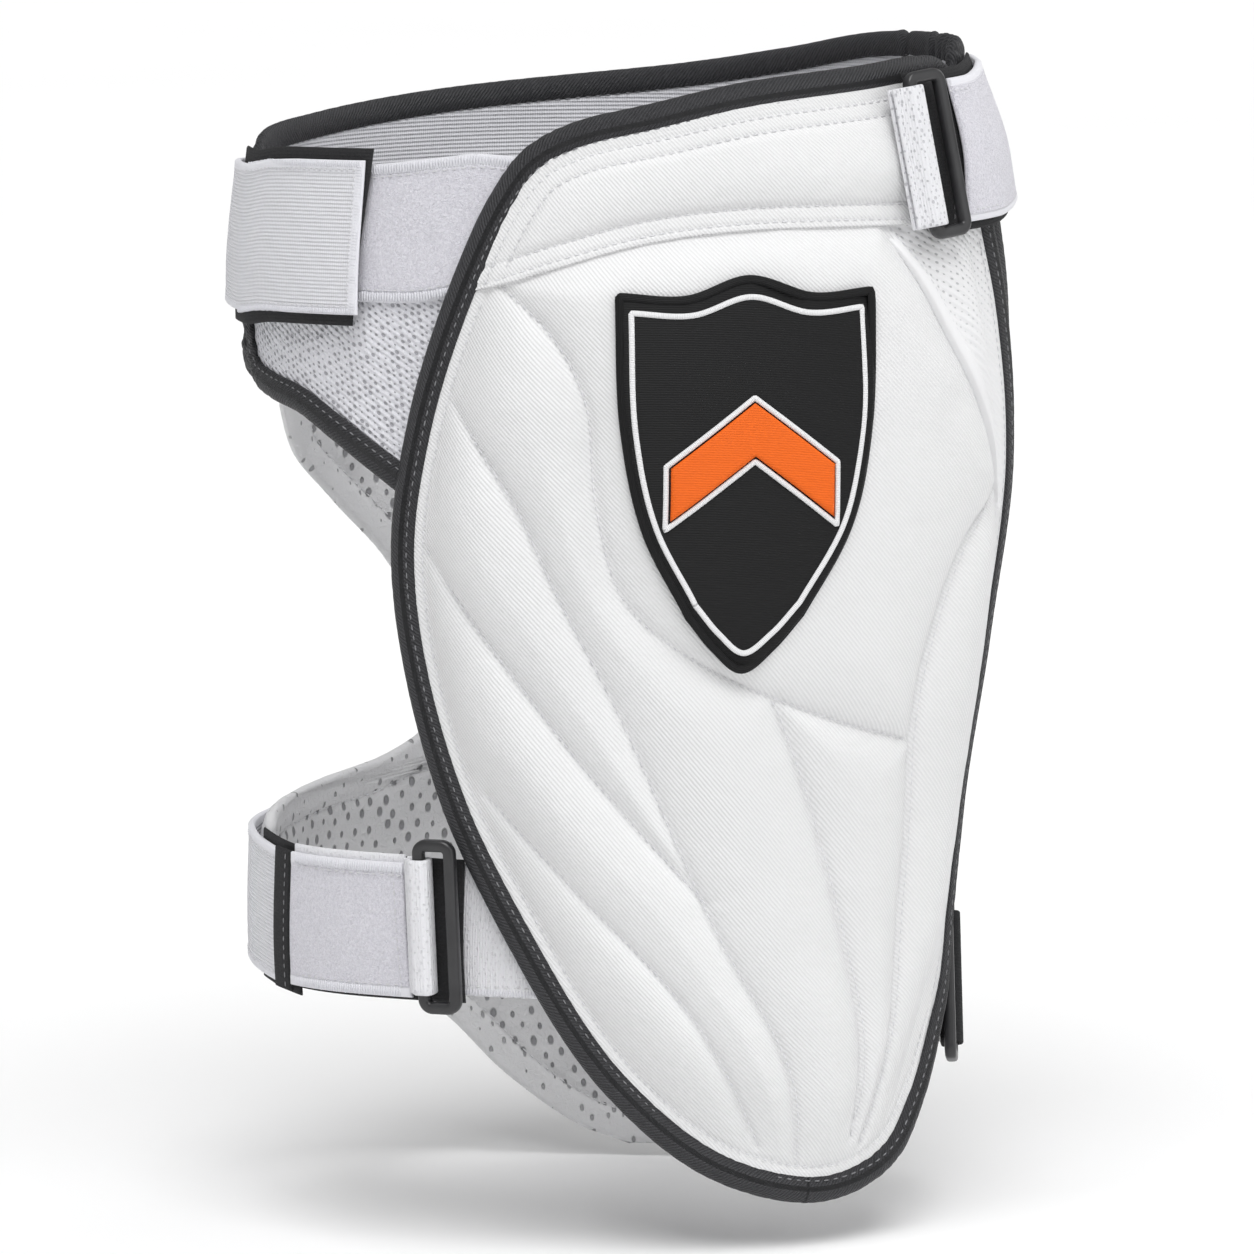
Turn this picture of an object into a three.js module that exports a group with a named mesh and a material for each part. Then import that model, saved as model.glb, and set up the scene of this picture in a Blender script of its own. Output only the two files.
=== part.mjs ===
// Cricket thigh guard: a quilted front pad and a perforated back pad round an open thigh hollow,
// joined by an elastic back band, an upper strap and a lower strap with plastic slide rings.
// Millimetres, +Z up, +X to the right of somebody who faces the pad, +Y away from them.
// The origin is the centre of the thigh hollow at half its height.
// A place on the thigh is written as turn, in degrees round it from the front towards +X, and
// up, a share of the hollow's height from the origin. Lift is the distance outwards from it.

import * as THREE from "three";

// The hollow
const hollowHeight = 390;
const hollowWidth = 243;
const hollowDepth = 184;

// Clearances
const seamGap = 0.35; // beside a binding, a bar or a butted edge
const spliceGap = 0.25; // degrees, between two straps that meet end to end
const padBackLift = 0.5; // of everything that lies on the thigh
const layerGap = 0.5; // between curved layers that lie on each other
const tapeGap = 0.9; // between a strap and the tape sewn under it
const loopGap = 1.8; // between a ring's loop and the strap that it is sewn to
const gussetGap = 0.8; // between the gusset and the pad
const bindingGap = 1; // between the front panels and the binding that turns tight corners round them
const bandGap = 1.4; // between the back band and its binding

// Front pad
const padEdge = 6.5;
const padCrown = 11;
const edgeRoll = 30;
const sideFlat = 14; // the pad's right side stays flat this far in from its binding, and then rolls up
const sideRoll = 34;
const sideTurns = [46, 72];
const seamDepth = 3.4;
const seamWidth = 6.5;
const bindingWidth = 9;
const bindingHeight = 8;
const gussetFootWidth = 3;

// Emblem
const emblemWidth = 86;
const emblemHeight = 128;
const emblemWall = 1.4;
const emblemGap = 1; // over the quilting
const chevronWidth = 20;
const chevronWall = 0.8;

// Wing, band and back pad
const meshWall = 3;
const bandWall = 3;
const backPadWall = 7;
const backPadEdge = 4;
const backPadRoll = 14;
const bandBindingHeight = 5.5;

// Straps
const pileWall = 1.5;
const tapeWall = 1.2;
const elasticWall = 2;
const webbingWall = 1.6;
const upperStrapWidth = 46;
const lowerStrapWidth = 45;
const upperTapeWidth = 54;
const ringTapeWidth = 52;
const lowerTapeWidth = 48;
const returnRise = 2.5;

// Slide rings
const topRingWidth = 17;
const topRingHeight = 55;
const lowerRingWidth = 15;
const lowerRingHeight = 58;
const ringBar = 4;
const ringWall = 4;
const ringCorner = 4.8;
const windowCorner = 2;
const ringBevel = 0.7;
const loopTail = 1.5;
const topRingLift = 15.4; // of the middle of its wall
const lowerRingLift = 8.7;

// Steps of the faceted surfaces
const strapStep = 5.5; // degrees

// The hollow's sections, as shares of its width and depth
const HOLLOW = [
  { up: -0.53, width: 0.864, depth: 0.783, lean: -0.012 },
  { up: -0.487, width: 0.872, depth: 0.804, lean: -0.012 },
  { up: -0.385, width: 0.897, depth: 0.87, lean: -0.021 },
  { up: -0.256, width: 0.901, depth: 0.935, lean: -0.033 },
  { up: -0.154, width: 0.909, depth: 0.957, lean: -0.025 },
  { up: 0, width: 0.947, depth: 0.978, lean: -0.008 },
  { up: 0.154, width: 0.992, depth: 1, lean: 0 },
  { up: 0.295, width: 1, depth: 0.989, lean: -0.002 },
  { up: 0.41, width: 0.963, depth: 0.957, lean: -0.004 },
  { up: 0.487, width: 0.905, depth: 0.924, lean: -0.016 },
  { up: 0.53, width: 0.87, depth: 0.9, lean: -0.022 },
];

// The middle line of the front pad's binding, from the tip up the left side and back down the right
const PAD_RIM = [
  { turn: 33, up: -0.453 },
  { turn: 16, up: -0.424 },
  { turn: 1, up: -0.353 },
  { turn: -12.5, up: -0.238 },
  { turn: -26, up: -0.116 },
  { turn: -33.5, up: -0.005 },
  { turn: -35.6, up: 0.094 },
  { turn: -31.9, up: 0.205 },
  { turn: -24.6, up: 0.317 },
  { turn: -18.7, up: 0.39 },
  { turn: -14, up: 0.425 },
  { turn: -7, up: 0.445 },
  { turn: 5, up: 0.46 },
  { turn: 21, up: 0.4765 },
  { turn: 45, up: 0.486 },
  { turn: 59, up: 0.4895 },
  { turn: 65, up: 0.486 },
  { turn: 68.6, up: 0.47 },
  { turn: 69.4, up: 0.445 },
  { turn: 69, up: 0.41 },
  { turn: 70, up: 0.348 },
  { turn: 75.5, up: 0.27 },
  { turn: 81.5, up: 0.19 },
  { turn: 84, up: 0.12 },
  { turn: 84.5, up: 0 },
  { turn: 85, up: -0.12 },
  { turn: 84, up: -0.22 },
  { turn: 78, up: -0.29 },
  { turn: 69.2, up: -0.339 },
  { turn: 61.2, up: -0.388 },
  { turn: 53.8, up: -0.428 },
  { turn: 44, up: -0.449 },
];

// Where the top panel's upper corners are
const PAD_CORNERS = {
  left: { turn: -14, up: 0.42 },
  right: { turn: 67, up: 0.478 },
};

// The seams between the front pad's panels, and the quilted channels
const TOP_SEAM = [
  { turn: -22.5, up: 0.314 },
  { turn: -9.1, up: 0.34 },
  { turn: 3.2, up: 0.359 },
  { turn: 17.3, up: 0.368 },
  { turn: 41, up: 0.367 },
  { turn: 67, up: 0.36 },
];
const GUSSET_SEAM = [
  { turn: 75, up: 0.1 },
  { turn: 66.5, up: 0.15 },
  { turn: 61.1, up: 0.195 },
  { turn: 51.8, up: 0.268 },
  { turn: 45.2, up: 0.329 },
  { turn: 41, up: 0.367 },
];
const CHANNELS = [
  [
    { turn: -18.2, up: 0.322 },
    { turn: -10.8, up: 0.286 },
    { turn: -5.8, up: 0.231 },
    { turn: -4.3, up: 0.142 },
    { turn: 0, up: 0.063 },
    { turn: 11.2, up: 0.01 },
    { turn: 32.3, up: -0.041 },
    { turn: 48.8, up: -0.068 },
  ],
  [
    { turn: -26, up: 0.225 },
    { turn: -16.7, up: 0.152 },
    { turn: -9.4, up: 0.065 },
    { turn: 1.8, up: -0.052 },
    { turn: 15, up: -0.195 },
    { turn: 28.7, up: -0.337 },
    { turn: 31.3, up: -0.43 },
  ],
  [
    { turn: -31, up: 0.1 },
    { turn: -18.3, up: 0.016 },
    { turn: -4.4, up: -0.079 },
    { turn: 15.5, up: -0.195 },
  ],
  [
    { turn: -20, up: -0.105 },
    { turn: -6.6, up: -0.173 },
    { turn: 12.5, up: -0.282 },
    { turn: 24.2, up: -0.411 },
  ],
  [
    { turn: 22.8, up: -0.023 },
    { turn: 33.1, up: -0.142 },
    { turn: 43, up: -0.3 },
    { turn: 42.6, up: -0.411 },
  ],
  [
    { turn: 66.5, up: 0.136 },
    { turn: 56.5, up: 0.093 },
    { turn: 49.8, up: -0.031 },
    { turn: 52, up: -0.153 },
    { turn: 51.1, up: -0.306 },
    { turn: 44.8, up: -0.418 },
  ],
];

// How much of the crown the front pad has at each height
const CROWN = [
  { up: -0.45, share: 0.55 },
  { up: -0.3, share: 0.95 },
  { up: 0, share: 1 },
  { up: 0.22, share: 1 },
  { up: 0.3, share: 0.8 },
  { up: 0.37, share: 0.38 },
  { up: 0.42, share: 0.28 },
  { up: 0.49, share: 0.26 },
];

// The emblem's place, and its right half outline as shares of its half width and height
const emblemTurn = 17;
const emblemUp = 0.168;
const SHIELD_FOOT = [
  { side: 0, rise: -0.5 },
  { side: 0.22, rise: -0.445 },
  { side: 0.44, rise: -0.36 },
];
const SHIELD_SIDE = [
  { side: 0.44, rise: -0.36 },
  { side: 0.8, rise: -0.14 },
  { side: 0.97, rise: 0.12 },
  { side: 1, rise: 0.46 },
];
const SHIELD_TOP = [
  { side: 0, rise: 0.5 },
  { side: 0.5, rise: 0.452 },
  { side: 1, rise: 0.46 },
];
const chevronReach = 0.82;
const chevronPeak = 0.12;
const chevronDrop = 0.26;

// The middle line of the wing's binding, from the pad's left edge down its foot and up its end
const WING_RIM = [
  { turn: -39.2, up: 0.165 },
  { turn: -48.8, up: 0.192 },
  { turn: -58, up: 0.212 },
  { turn: -68, up: 0.22 },
  { turn: -76, up: 0.229 },
  { turn: -80.3, up: 0.253 },
  { turn: -81.3, up: 0.3 },
  { turn: -81.3, up: 0.408 },
];
const WING_TOP = [
  { turn: -78, up: 0.408 },
  { turn: -60, up: 0.411 },
  { turn: -41.9, up: 0.413 },
  { turn: -29, up: 0.421 },
  { turn: -18, up: 0.427 },
];
const PILE_TOP = [
  { turn: -76, up: 0.41 },
  { turn: -60, up: 0.413 },
  { turn: -41.9, up: 0.416 },
  { turn: -29, up: 0.425 },
  { turn: -18, up: 0.432 },
];
const PILE_FOOT = [
  { turn: -76, up: 0.302 },
  { turn: -40, up: 0.302 },
  { turn: -31, up: 0.305 },
  { turn: -27, up: 0.31 },
];

// The middle line of the back band's binding, up beside the pad's right edge, along the rim to
// the left side, down its end and back along its foot
const BAND_RIM = [
  { turn: 88.5, up: 0.213 },
  { turn: 83.5, up: 0.265 },
  { turn: 78.5, up: 0.335 },
  { turn: 76.5, up: 0.42 },
  { turn: 76.3, up: 0.475 },
  { turn: 81, up: 0.49 },
  { turn: 101, up: 0.492 },
  { turn: 130, up: 0.485 },
  { turn: 151, up: 0.466 },
  { turn: 172, up: 0.449 },
  { turn: 211, up: 0.431 },
  { turn: 240, up: 0.418 },
  { turn: 264, up: 0.41 },
  { turn: 271.4, up: 0.398 },
  { turn: 272.4, up: 0.36 },
  { turn: 272.4, up: 0.28 },
  { turn: 271.4, up: 0.242 },
  { turn: 264, up: 0.224 },
  { turn: 240, up: 0.204 },
  { turn: 180, up: 0.2 },
  { turn: 120, up: 0.202 },
  { turn: 94, up: 0.202 },
];
const BAND_CORNERS = {
  foot: { turn: 88.5, up: 0.213 },
  rim: { turn: 77.5, up: 0.485 },
  endTop: { turn: 270, up: 0.402 },
  endFoot: { turn: 270, up: 0.237 },
};

// The back pad's sides, in degrees left and right of its middle, from the band down to its tip
const backTurn = 172;
const BACK_EDGE = [
  { left: 78, right: 76, up: 0.1865 },
  { left: 74, right: 73, up: 0.14 },
  { left: 63, right: 63, up: 0.09 },
  { left: 50, right: 50, up: 0.027 },
  { left: 42.5, right: 42.5, up: -0.05 },
  { left: 42, right: 42, up: -0.115 },
  { left: 52, right: 50, up: -0.142 },
  { left: 75, right: 62, up: -0.155 },
  { left: 94, right: 67, up: -0.163 },
  { left: 97, right: 69, up: -0.18 },
  { left: 97, right: 69, up: -0.27 },
  { left: 90, right: 66, up: -0.292 },
  { left: 66, right: 56, up: -0.315 },
  { left: 42, right: 39, up: -0.362 },
  { left: 27, right: 25, up: -0.434 },
  { left: 15, right: 14, up: -0.477 },
  { left: 6, right: 6, up: -0.493 },
];

// The upper strap's middle line from the ring round the back to its tab at the front left
const UPPER_STRAP = [
  { turn: 47, up: 0.423, lift: 12.8 },
  { turn: 66, up: 0.424, lift: 12.8 },
  { turn: 72, up: 0.426, lift: 11.6 },
  { turn: 82, up: 0.43, lift: 9.4 },
  { turn: 93, up: 0.43, lift: 7.2 },
  { turn: 118, up: 0.416, lift: 7 },
  { turn: 150, up: 0.39, lift: 4.1 },
  { turn: 180, up: 0.366, lift: 4.1 },
  { turn: 240, up: 0.342, lift: 4.1 },
  { turn: 252, up: 0.34, lift: 4.2 },
  { turn: 262, up: 0.341, lift: 7 },
  { turn: 268, up: 0.342, lift: 8.9 },
  { turn: 285, up: 0.343, lift: 8.9 },
  { turn: 296, up: 0.35, lift: 8.5 },
  { turn: 322, up: 0.357, lift: 8.5 },
];
const upperStart = 57.4;
const upperStartLean = 3;
const upperSplice = 160; // where the pile strap meets the elastic
const upperEnd = 318.5;
const ringTapeStart = 49.8;
const ringTapeEnd = 80;
const upperTapeStart = 272;
const upperTapeEnd = 318.4;
const upperTapeLean = 2.2;

// The lower strap's middle line from the right ring round the back to the left
const LOWER_STRAP = [
  { turn: 90, up: -0.305, lift: 5.6 },
  { turn: 108, up: -0.288, lift: 8 },
  { turn: 180, up: -0.248, lift: 8 },
  { turn: 240, up: -0.228, lift: 8 },
  { turn: 266, up: -0.228, lift: 8 },
  { turn: 276, up: -0.231, lift: 6.6 },
  { turn: 286, up: -0.233, lift: 5.2 },
  { turn: 300, up: -0.235, lift: 4.9 },
];
const lowerEnd = 295;

// The lower straps' middle line at the front left, in layers over the anchor
const LOWER_FRONT = [
  { turn: -80, up: -0.234 },
  { turn: -60, up: -0.231 },
  { turn: -29, up: -0.2245 },
  { turn: -5, up: -0.223 },
];
const lowerTapeStart = -76;
const lowerTapeEnd = -23.3;
const lowerTapeLean = -2.2;
const lowerPileStart = -60.5;
const lowerReturnStart = -62;
const anchorStart = -26.5;
const anchorFoot = -0.28;
const anchorTop = -0.166;
const anchorLift = 1;
const lowerTapeLift = 3.1;

// Places of the slide rings
const TOP_RING = { turn: 50.5, up: 0.424, lean: 3 };
const LEFT_RING = { turn: -27.2, up: -0.219, lean: -5 };
const RIGHT_RING = { turn: 86.5, up: -0.3, lean: 22 };
const rightDrop = 2.4; // how much nearer the thigh the right ring and its tape are than the left ones
const RIGHT_TAPE_FOOT = { turn: 74, up: -0.355 };
const RIGHT_TAPE_TOP = { turn: 88, up: -0.235 };

const degree = Math.PI / 180;

// Value of a table's column at a key, on a smooth curve through the rows that never passes them
function readTable(rows, key, column, at) {
  let i = 0;
  while (i < rows.length - 2 && at > rows[i + 1][key]) i++;
  const slope = (a, b) => (b[column] - a[column]) / (b[key] - a[key]);
  const here = rows[i];
  const next = rows[i + 1];
  const step = next[key] - here[key];
  const middle = slope(here, next);
  const mean = (a, b) => (a * b > 0 ? (2 * a * b) / (a + b) : 0);
  const before = i > 0 ? mean(slope(rows[i - 1], here), middle) : middle;
  const after = i < rows.length - 2 ? mean(slope(next, rows[i + 2]), middle) : middle;
  const t = THREE.MathUtils.clamp((at - here[key]) / step, 0, 1);
  const bend = t * t * (3 - 2 * t);
  const ends = t * (1 - t) * (1 - t) * before - t * t * (1 - t) * after;
  return THREE.MathUtils.lerp(here[column], next[column], bend) + ends * step;
}

// Half axes and middle of the hollow's section at a height
function section(height) {
  const up = height / hollowHeight;
  return {
    wide: (readTable(HOLLOW, "up", "width", up) * hollowWidth) / 2,
    deep: (readTable(HOLLOW, "up", "depth", up) * hollowDepth) / 2,
    lean: readTable(HOLLOW, "up", "lean", up) * hollowWidth,
  };
}

// A flat point holds turn in x and height in y
function flat(row) {
  return new THREE.Vector2(row.turn, row.up * hollowHeight);
}

function onThigh(point, lift) {
  const { wide, deep, lean } = section(point.y);
  const angle = point.x * degree;
  const x = lean + (wide + lift) * Math.sin(angle);
  const y = -(deep + lift) * Math.cos(angle);
  return new THREE.Vector3(x, y, point.y);
}

// Outward direction of the thigh at a flat point
function outward(point) {
  const { wide, deep } = section(point.y);
  const angle = point.x * degree;
  return new THREE.Vector3(Math.sin(angle) / wide, -Math.cos(angle) / deep, 0).normalize();
}

function mmPerDegree(point, lift) {
  const { wide, deep } = section(point.y);
  const angle = point.x * degree;
  return Math.hypot((wide + lift) * Math.cos(angle), (deep + lift) * Math.sin(angle)) * degree;
}

// A smooth flat curve through rows, read by its share of length
function curveThrough(rows, closed = false) {
  const points = rows.map((row) => new THREE.Vector3(row.turn * frontScale, row.up * hollowHeight, 0));
  const curve = new THREE.CatmullRomCurve3(points, closed, "centripetal");
  curve.arcLengthDivisions = 400;
  return (share) => {
    const point = curve.getPointAt(share);
    return new THREE.Vector2(point.x / frontScale, point.y);
  };
}
const frontScale = mmPerDegree(new THREE.Vector2(0, 0), 0);

// The same curve moved sideways, to its right where the distance is positive
function shifted(curve, distance, closed = false) {
  const step = 0.002;
  return (share) => {
    const wrap = (s) => (closed ? (s + 1) % 1 : THREE.MathUtils.clamp(s, 0, 1));
    const here = curve(wrap(share));
    const along = curve(wrap(share + step)).sub(curve(wrap(share - step)));
    const scale = mmPerDegree(here, padEdge);
    const right = new THREE.Vector2(along.y, -along.x * scale).normalize();
    return new THREE.Vector2(here.x + (right.x * distance) / scale, here.y + right.y * distance);
  };
}

// Part of a curve, which may run backwards or past the start of a closed one
function stretch(curve, from, to, closed = false) {
  return (share) => {
    const at = THREE.MathUtils.lerp(from, to, share);
    return curve(closed ? (at + 1) % 1 : at);
  };
}

function straight(from, to) {
  return (share) => new THREE.Vector2().lerpVectors(from, to, share);
}

// Distance in millimetres from a flat point to a polyline of flat points
function distanceTo(polyline, point) {
  const scale = mmPerDegree(point, padEdge);
  let nearest = Infinity;
  for (let i = 0; i < polyline.length - 1; i++) {
    const ax = (polyline[i].x - point.x) * scale;
    const ay = polyline[i].y - point.y;
    const bx = (polyline[i + 1].x - polyline[i].x) * scale;
    const by = polyline[i + 1].y - polyline[i].y;
    const t = THREE.MathUtils.clamp(-(ax * bx + ay * by) / (bx * bx + by * by), 0, 1);
    nearest = Math.min(nearest, Math.hypot(ax + bx * t, ay + by * t));
  }
  return nearest;
}

function sampled(curve, count) {
  return Array.from({ length: count + 1 }, (_, i) => curve(i / count));
}

// Share of a curve's length that lies nearest to a flat point
function shareNear(curve, point) {
  const count = 1000;
  let best = 0;
  let nearest = Infinity;
  for (let i = 0; i < count; i++) {
    const at = curve(i / count);
    const away = Math.hypot((at.x - point.x) * frontScale, at.y - point.y);
    if (away < nearest) [best, nearest] = [i / count, away];
  }
  return best;
}

// Share of a curve at a height, between two shares over which it climbs
function shareAtHeight(curve, height, from, to) {
  let [low, high] = [from, to];
  for (let pass = 0; pass < 30; pass++) {
    const middle = (low + high) / 2;
    if (curve(middle).y < height) low = middle;
    else high = middle;
  }
  return low;
}

// One closed mesh from vertices and triangles, turned to face outwards
function solid(name, vertices, triangles, look) {
  let volume = 0;
  for (const [a, b, c] of triangles) {
    volume += vertices[a].dot(new THREE.Vector3().crossVectors(vertices[b], vertices[c]));
  }
  const facing = volume < 0 ? triangles.map(([a, b, c]) => [a, c, b]) : triangles;
  const geometry = new THREE.BufferGeometry();
  const numbers = vertices.flatMap((vertex) => vertex.toArray());
  geometry.setAttribute("position", new THREE.Float32BufferAttribute(numbers, 3));
  geometry.setIndex(facing.flat());
  return finished(name, geometry, look);
}

function finished(name, geometry, look) {
  geometry.computeVertexNormals();
  const mesh = new THREE.Mesh(geometry, new THREE.MeshStandardMaterial(look));
  mesh.name = name;
  return mesh;
}

// Triangles between two closed loops of vertices that start at the same corner; at counts from 0
// to 4 round the four sides
function zip(outerLoop, innerLoop) {
  const triangles = [];
  let i = 0;
  let j = 0;
  while (i < outerLoop.length || j < innerLoop.length) {
    const outer = outerLoop[i % outerLoop.length].index;
    const inner = innerLoop[j % innerLoop.length].index;
    const nextOuter = i + 1 < outerLoop.length ? outerLoop[i + 1].at : 4;
    const nextInner = j + 1 < innerLoop.length ? innerLoop[j + 1].at : 4;
    if (j >= innerLoop.length || (i < outerLoop.length && nextOuter <= nextInner)) {
      triangles.push([outer, inner, outerLoop[(i + 1) % outerLoop.length].index]);
      i++;
    } else {
      triangles.push([outer, inner, innerLoop[(j + 1) % innerLoop.length].index]);
      j++;
    }
  }
  return triangles;
}

// A grid of vertices over a flat patch, with its border as a loop
function sheet(patch, lift, across, along, first) {
  const vertices = [];
  const triangles = [];
  const index = (i, j) => first + j * (across + 1) + i;
  for (let j = 0; j <= along; j++) {
    for (let i = 0; i <= across; i++) {
      const point = patch(i / across, j / along);
      vertices.push(onThigh(point, lift(point, i / across, j / along)));
      if (i < across && j < along) {
        triangles.push([index(i, j), index(i + 1, j), index(i + 1, j + 1)]);
        triangles.push([index(i, j), index(i + 1, j + 1), index(i, j + 1)]);
      }
    }
  }
  const border = [];
  for (let i = 0; i < across; i++) border.push({ index: index(i, 0), at: i / across });
  for (let j = 0; j < along; j++) border.push({ index: index(across, j), at: 1 + j / along });
  for (let i = 0; i < across; i++) border.push({ index: index(across - i, along), at: 2 + i / across });
  for (let j = 0; j < along; j++) border.push({ index: index(0, along - j), at: 3 + j / along });
  return { vertices, triangles, border };
}

// A patch between four flat curves: bottom and top run to the right, left and right run up
function between({ bottom, top, left, right }) {
  return (u, v) => {
    const point = bottom(u).multiplyScalar(1 - v).addScaledVector(top(u), v);
    point.addScaledVector(left(v), 1 - u).addScaledVector(right(v), u);
    point.addScaledVector(bottom(0), -(1 - u) * (1 - v)).addScaledVector(bottom(1), -u * (1 - v));
    return point.addScaledVector(top(0), -(1 - u) * v).addScaledVector(top(1), -u * v);
  };
}

// A closed panel over a patch of the thigh, between two lifts
function panel(name, look, { patch, inner, outer, across, along, backAcross = across, backAlong = along }) {
  const front = sheet(patch, outer, across, along, 0);
  const back = sheet(patch, inner, backAcross, backAlong, front.vertices.length);
  const turned = back.triangles.map(([a, b, c]) => [a, c, b]);
  const walls = zip(front.border, back.border);
  return solid(name, [...front.vertices, ...back.vertices], [...front.triangles, ...turned, ...walls], look);
}

// A round bead along a flat curve, closed on itself or with flat ends
function bead(name, look, { curve, lift, width, height, steps, sides, closed = false }) {
  const vertices = [];
  const triangles = [];
  const count = closed ? steps : steps + 1;
  for (let i = 0; i < count; i++) {
    const share = i / steps;
    const wrap = (s) => (closed ? (s + 1) % 1 : THREE.MathUtils.clamp(s, 0, 1));
    const point = curve(share);
    const seat = lift(point, share);
    const back = onThigh(curve(wrap(share - 0.3 / steps)), seat);
    const along = onThigh(curve(wrap(share + 0.3 / steps)), seat).sub(back).normalize();
    const out = outward(point);
    out.addScaledVector(along, -out.dot(along)).normalize();
    const aside = new THREE.Vector3().crossVectors(along, out);
    for (let k = 0; k < sides; k++) {
      const angle = ((k + 0.5) / sides) * 2 * Math.PI;
      const vertex = onThigh(point, seat);
      vertex.addScaledVector(aside, (width / 2) * Math.cos(angle));
      vertices.push(vertex.addScaledVector(out, (height / 2) * Math.sin(angle)));
    }
  }
  const last = closed ? count : count - 1;
  for (let i = 0; i < last; i++) {
    for (let k = 0; k < sides; k++) {
      const a = i * sides + k;
      const b = i * sides + ((k + 1) % sides);
      const c = ((i + 1) % count) * sides + ((k + 1) % sides);
      const d = ((i + 1) % count) * sides + k;
      triangles.push([a, b, c], [a, c, d]);
    }
  }
  if (!closed) {
    const end = (count - 1) * sides;
    for (let k = 1; k < sides - 1; k++) {
      triangles.push([0, k + 1, k], [end, end + k, end + k + 1]);
    }
  }
  return solid(name, vertices, triangles, look);
}

// A flat strap along a table of turn, up and lift, with ends that lean by millimetres at the top
function strap(name, look, { rows, from, to, width, rise = 0, lower, upper, leanStart = 0, leanEnd = 0 }) {
  const middle = (turn) => readTable(rows, "turn", "up", turn) * hollowHeight + rise;
  const start = new THREE.Vector2(from, middle(from));
  const leaning = (turn, lean, side) => turn + (side * lean) / mmPerDegree(start, padEdge);
  const edge = (side) => (u) => {
    const turn = THREE.MathUtils.lerp(leaning(from, leanStart, side), leaning(to, leanEnd, side), u);
    return new THREE.Vector2(turn, middle(turn) + (side * width) / 2);
  };
  const patch = (u, v) => edge(-1)(u).lerp(edge(1)(u), v);
  const seat = (point) => (rows[0].lift === undefined ? 0 : readTable(rows, "turn", "lift", point.x));
  return panel(name, look, {
    patch,
    inner: (point) => seat(point) + lower,
    outer: (point) => seat(point) + upper,
    across: Math.ceil(Math.abs(to - from) / strapStep) + 1,
    along: 2,
  });
}

// Frame of a flat fitting on the thigh: x round it, y up along the fitting, z outwards
function seatAt(turn, up, lift, lean) {
  const point = new THREE.Vector2(turn, up * hollowHeight);
  const above = new THREE.Vector2(point.x, point.y + 1);
  const rise = onThigh(above, lift).sub(onThigh(point, lift)).normalize();
  const round = new THREE.Vector3().crossVectors(rise, outward(point)).normalize();
  const out = new THREE.Vector3().crossVectors(round, rise);
  rise.applyAxisAngle(out, -lean * degree);
  round.applyAxisAngle(out, -lean * degree);
  return new THREE.Matrix4().makeBasis(round, rise, out).setPosition(onThigh(point, lift));
}

function roundedRectangle(path, width, height, radius) {
  const x = width / 2 - radius;
  const y = height / 2 - radius;
  path.absarc(x, -y, radius, -Math.PI / 2, 0);
  path.absarc(x, y, radius, 0, Math.PI / 2);
  path.absarc(-x, y, radius, Math.PI / 2, Math.PI);
  path.absarc(-x, -y, radius, Math.PI, 1.5 * Math.PI);
  path.closePath();
  return path;
}

// A slide ring: a rectangular frame with two long bars
function ring(name, look, seat, width, height) {
  const frame = [width - 2 * ringBevel, height - 2 * ringBevel];
  const shape = roundedRectangle(new THREE.Shape(), ...frame, ringCorner - ringBevel);
  const window = [width - 2 * ringBar + 2 * ringBevel, height - 2 * ringBar + 2 * ringBevel];
  shape.holes.push(roundedRectangle(new THREE.Path(), ...window, windowCorner));
  const geometry = new THREE.ExtrudeGeometry(shape, {
    depth: ringWall - 2 * ringBevel,
    bevelThickness: ringBevel,
    bevelSize: ringBevel,
    bevelSegments: 1,
    curveSegments: 2,
  });
  geometry.translate(0, 0, -ringWall / 2 + ringBevel).applyMatrix4(seat);
  return finished(name, geometry, look);
}

// Half the width and height of webbing folded round a ring's bar
const loopHalf = { x: ringBar / 2 + seamGap + webbingWall, z: ringWall / 2 + seamGap + webbingWall };
const loopChamfer = 1.2;

// How far the tail of a ring's loop reaches from the ring's middle
function loopReach(ringWidth) {
  return ringWidth / 2 - ringBar / 2 + loopHalf.x + loopTail;
}

// Webbing folded round one bar of a ring, with its tail on the outer side of that bar
function barLoop(name, look, seat, ringWidth, side, width) {
  const { x, z } = loopHalf;
  const outline = [
    [x - loopChamfer, -z],
    [x, -z + loopChamfer],
    [x, z - loopChamfer],
    [x - loopChamfer, z],
    [-x + loopChamfer, z],
    [-x, z - loopChamfer],
    [-x - loopTail, -z + 2 * webbingWall],
    [-x - loopTail, -z],
  ];
  const place = (points) => {
    const placed = points.map(([across, out]) => new THREE.Vector2(-side * across, out));
    return side > 0 ? placed.reverse() : placed;
  };
  const shape = new THREE.Shape(place(outline));
  const hole = [x - webbingWall, z - webbingWall];
  const corners = [[-1, -1], [1, -1], [1, 1], [-1, 1]];
  shape.holes.push(new THREE.Path(place(corners.map(([i, k]) => [i * hole[0], k * hole[1]]))));
  const geometry = new THREE.ExtrudeGeometry(shape, { depth: width, bevelEnabled: false });
  geometry.translate(0, 0, -width / 2).rotateX(Math.PI / 2);
  geometry.translate(side * (ringWidth / 2 - ringBar / 2), 0, 0).applyMatrix4(seat);
  return finished(name, geometry, look);
}

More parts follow.
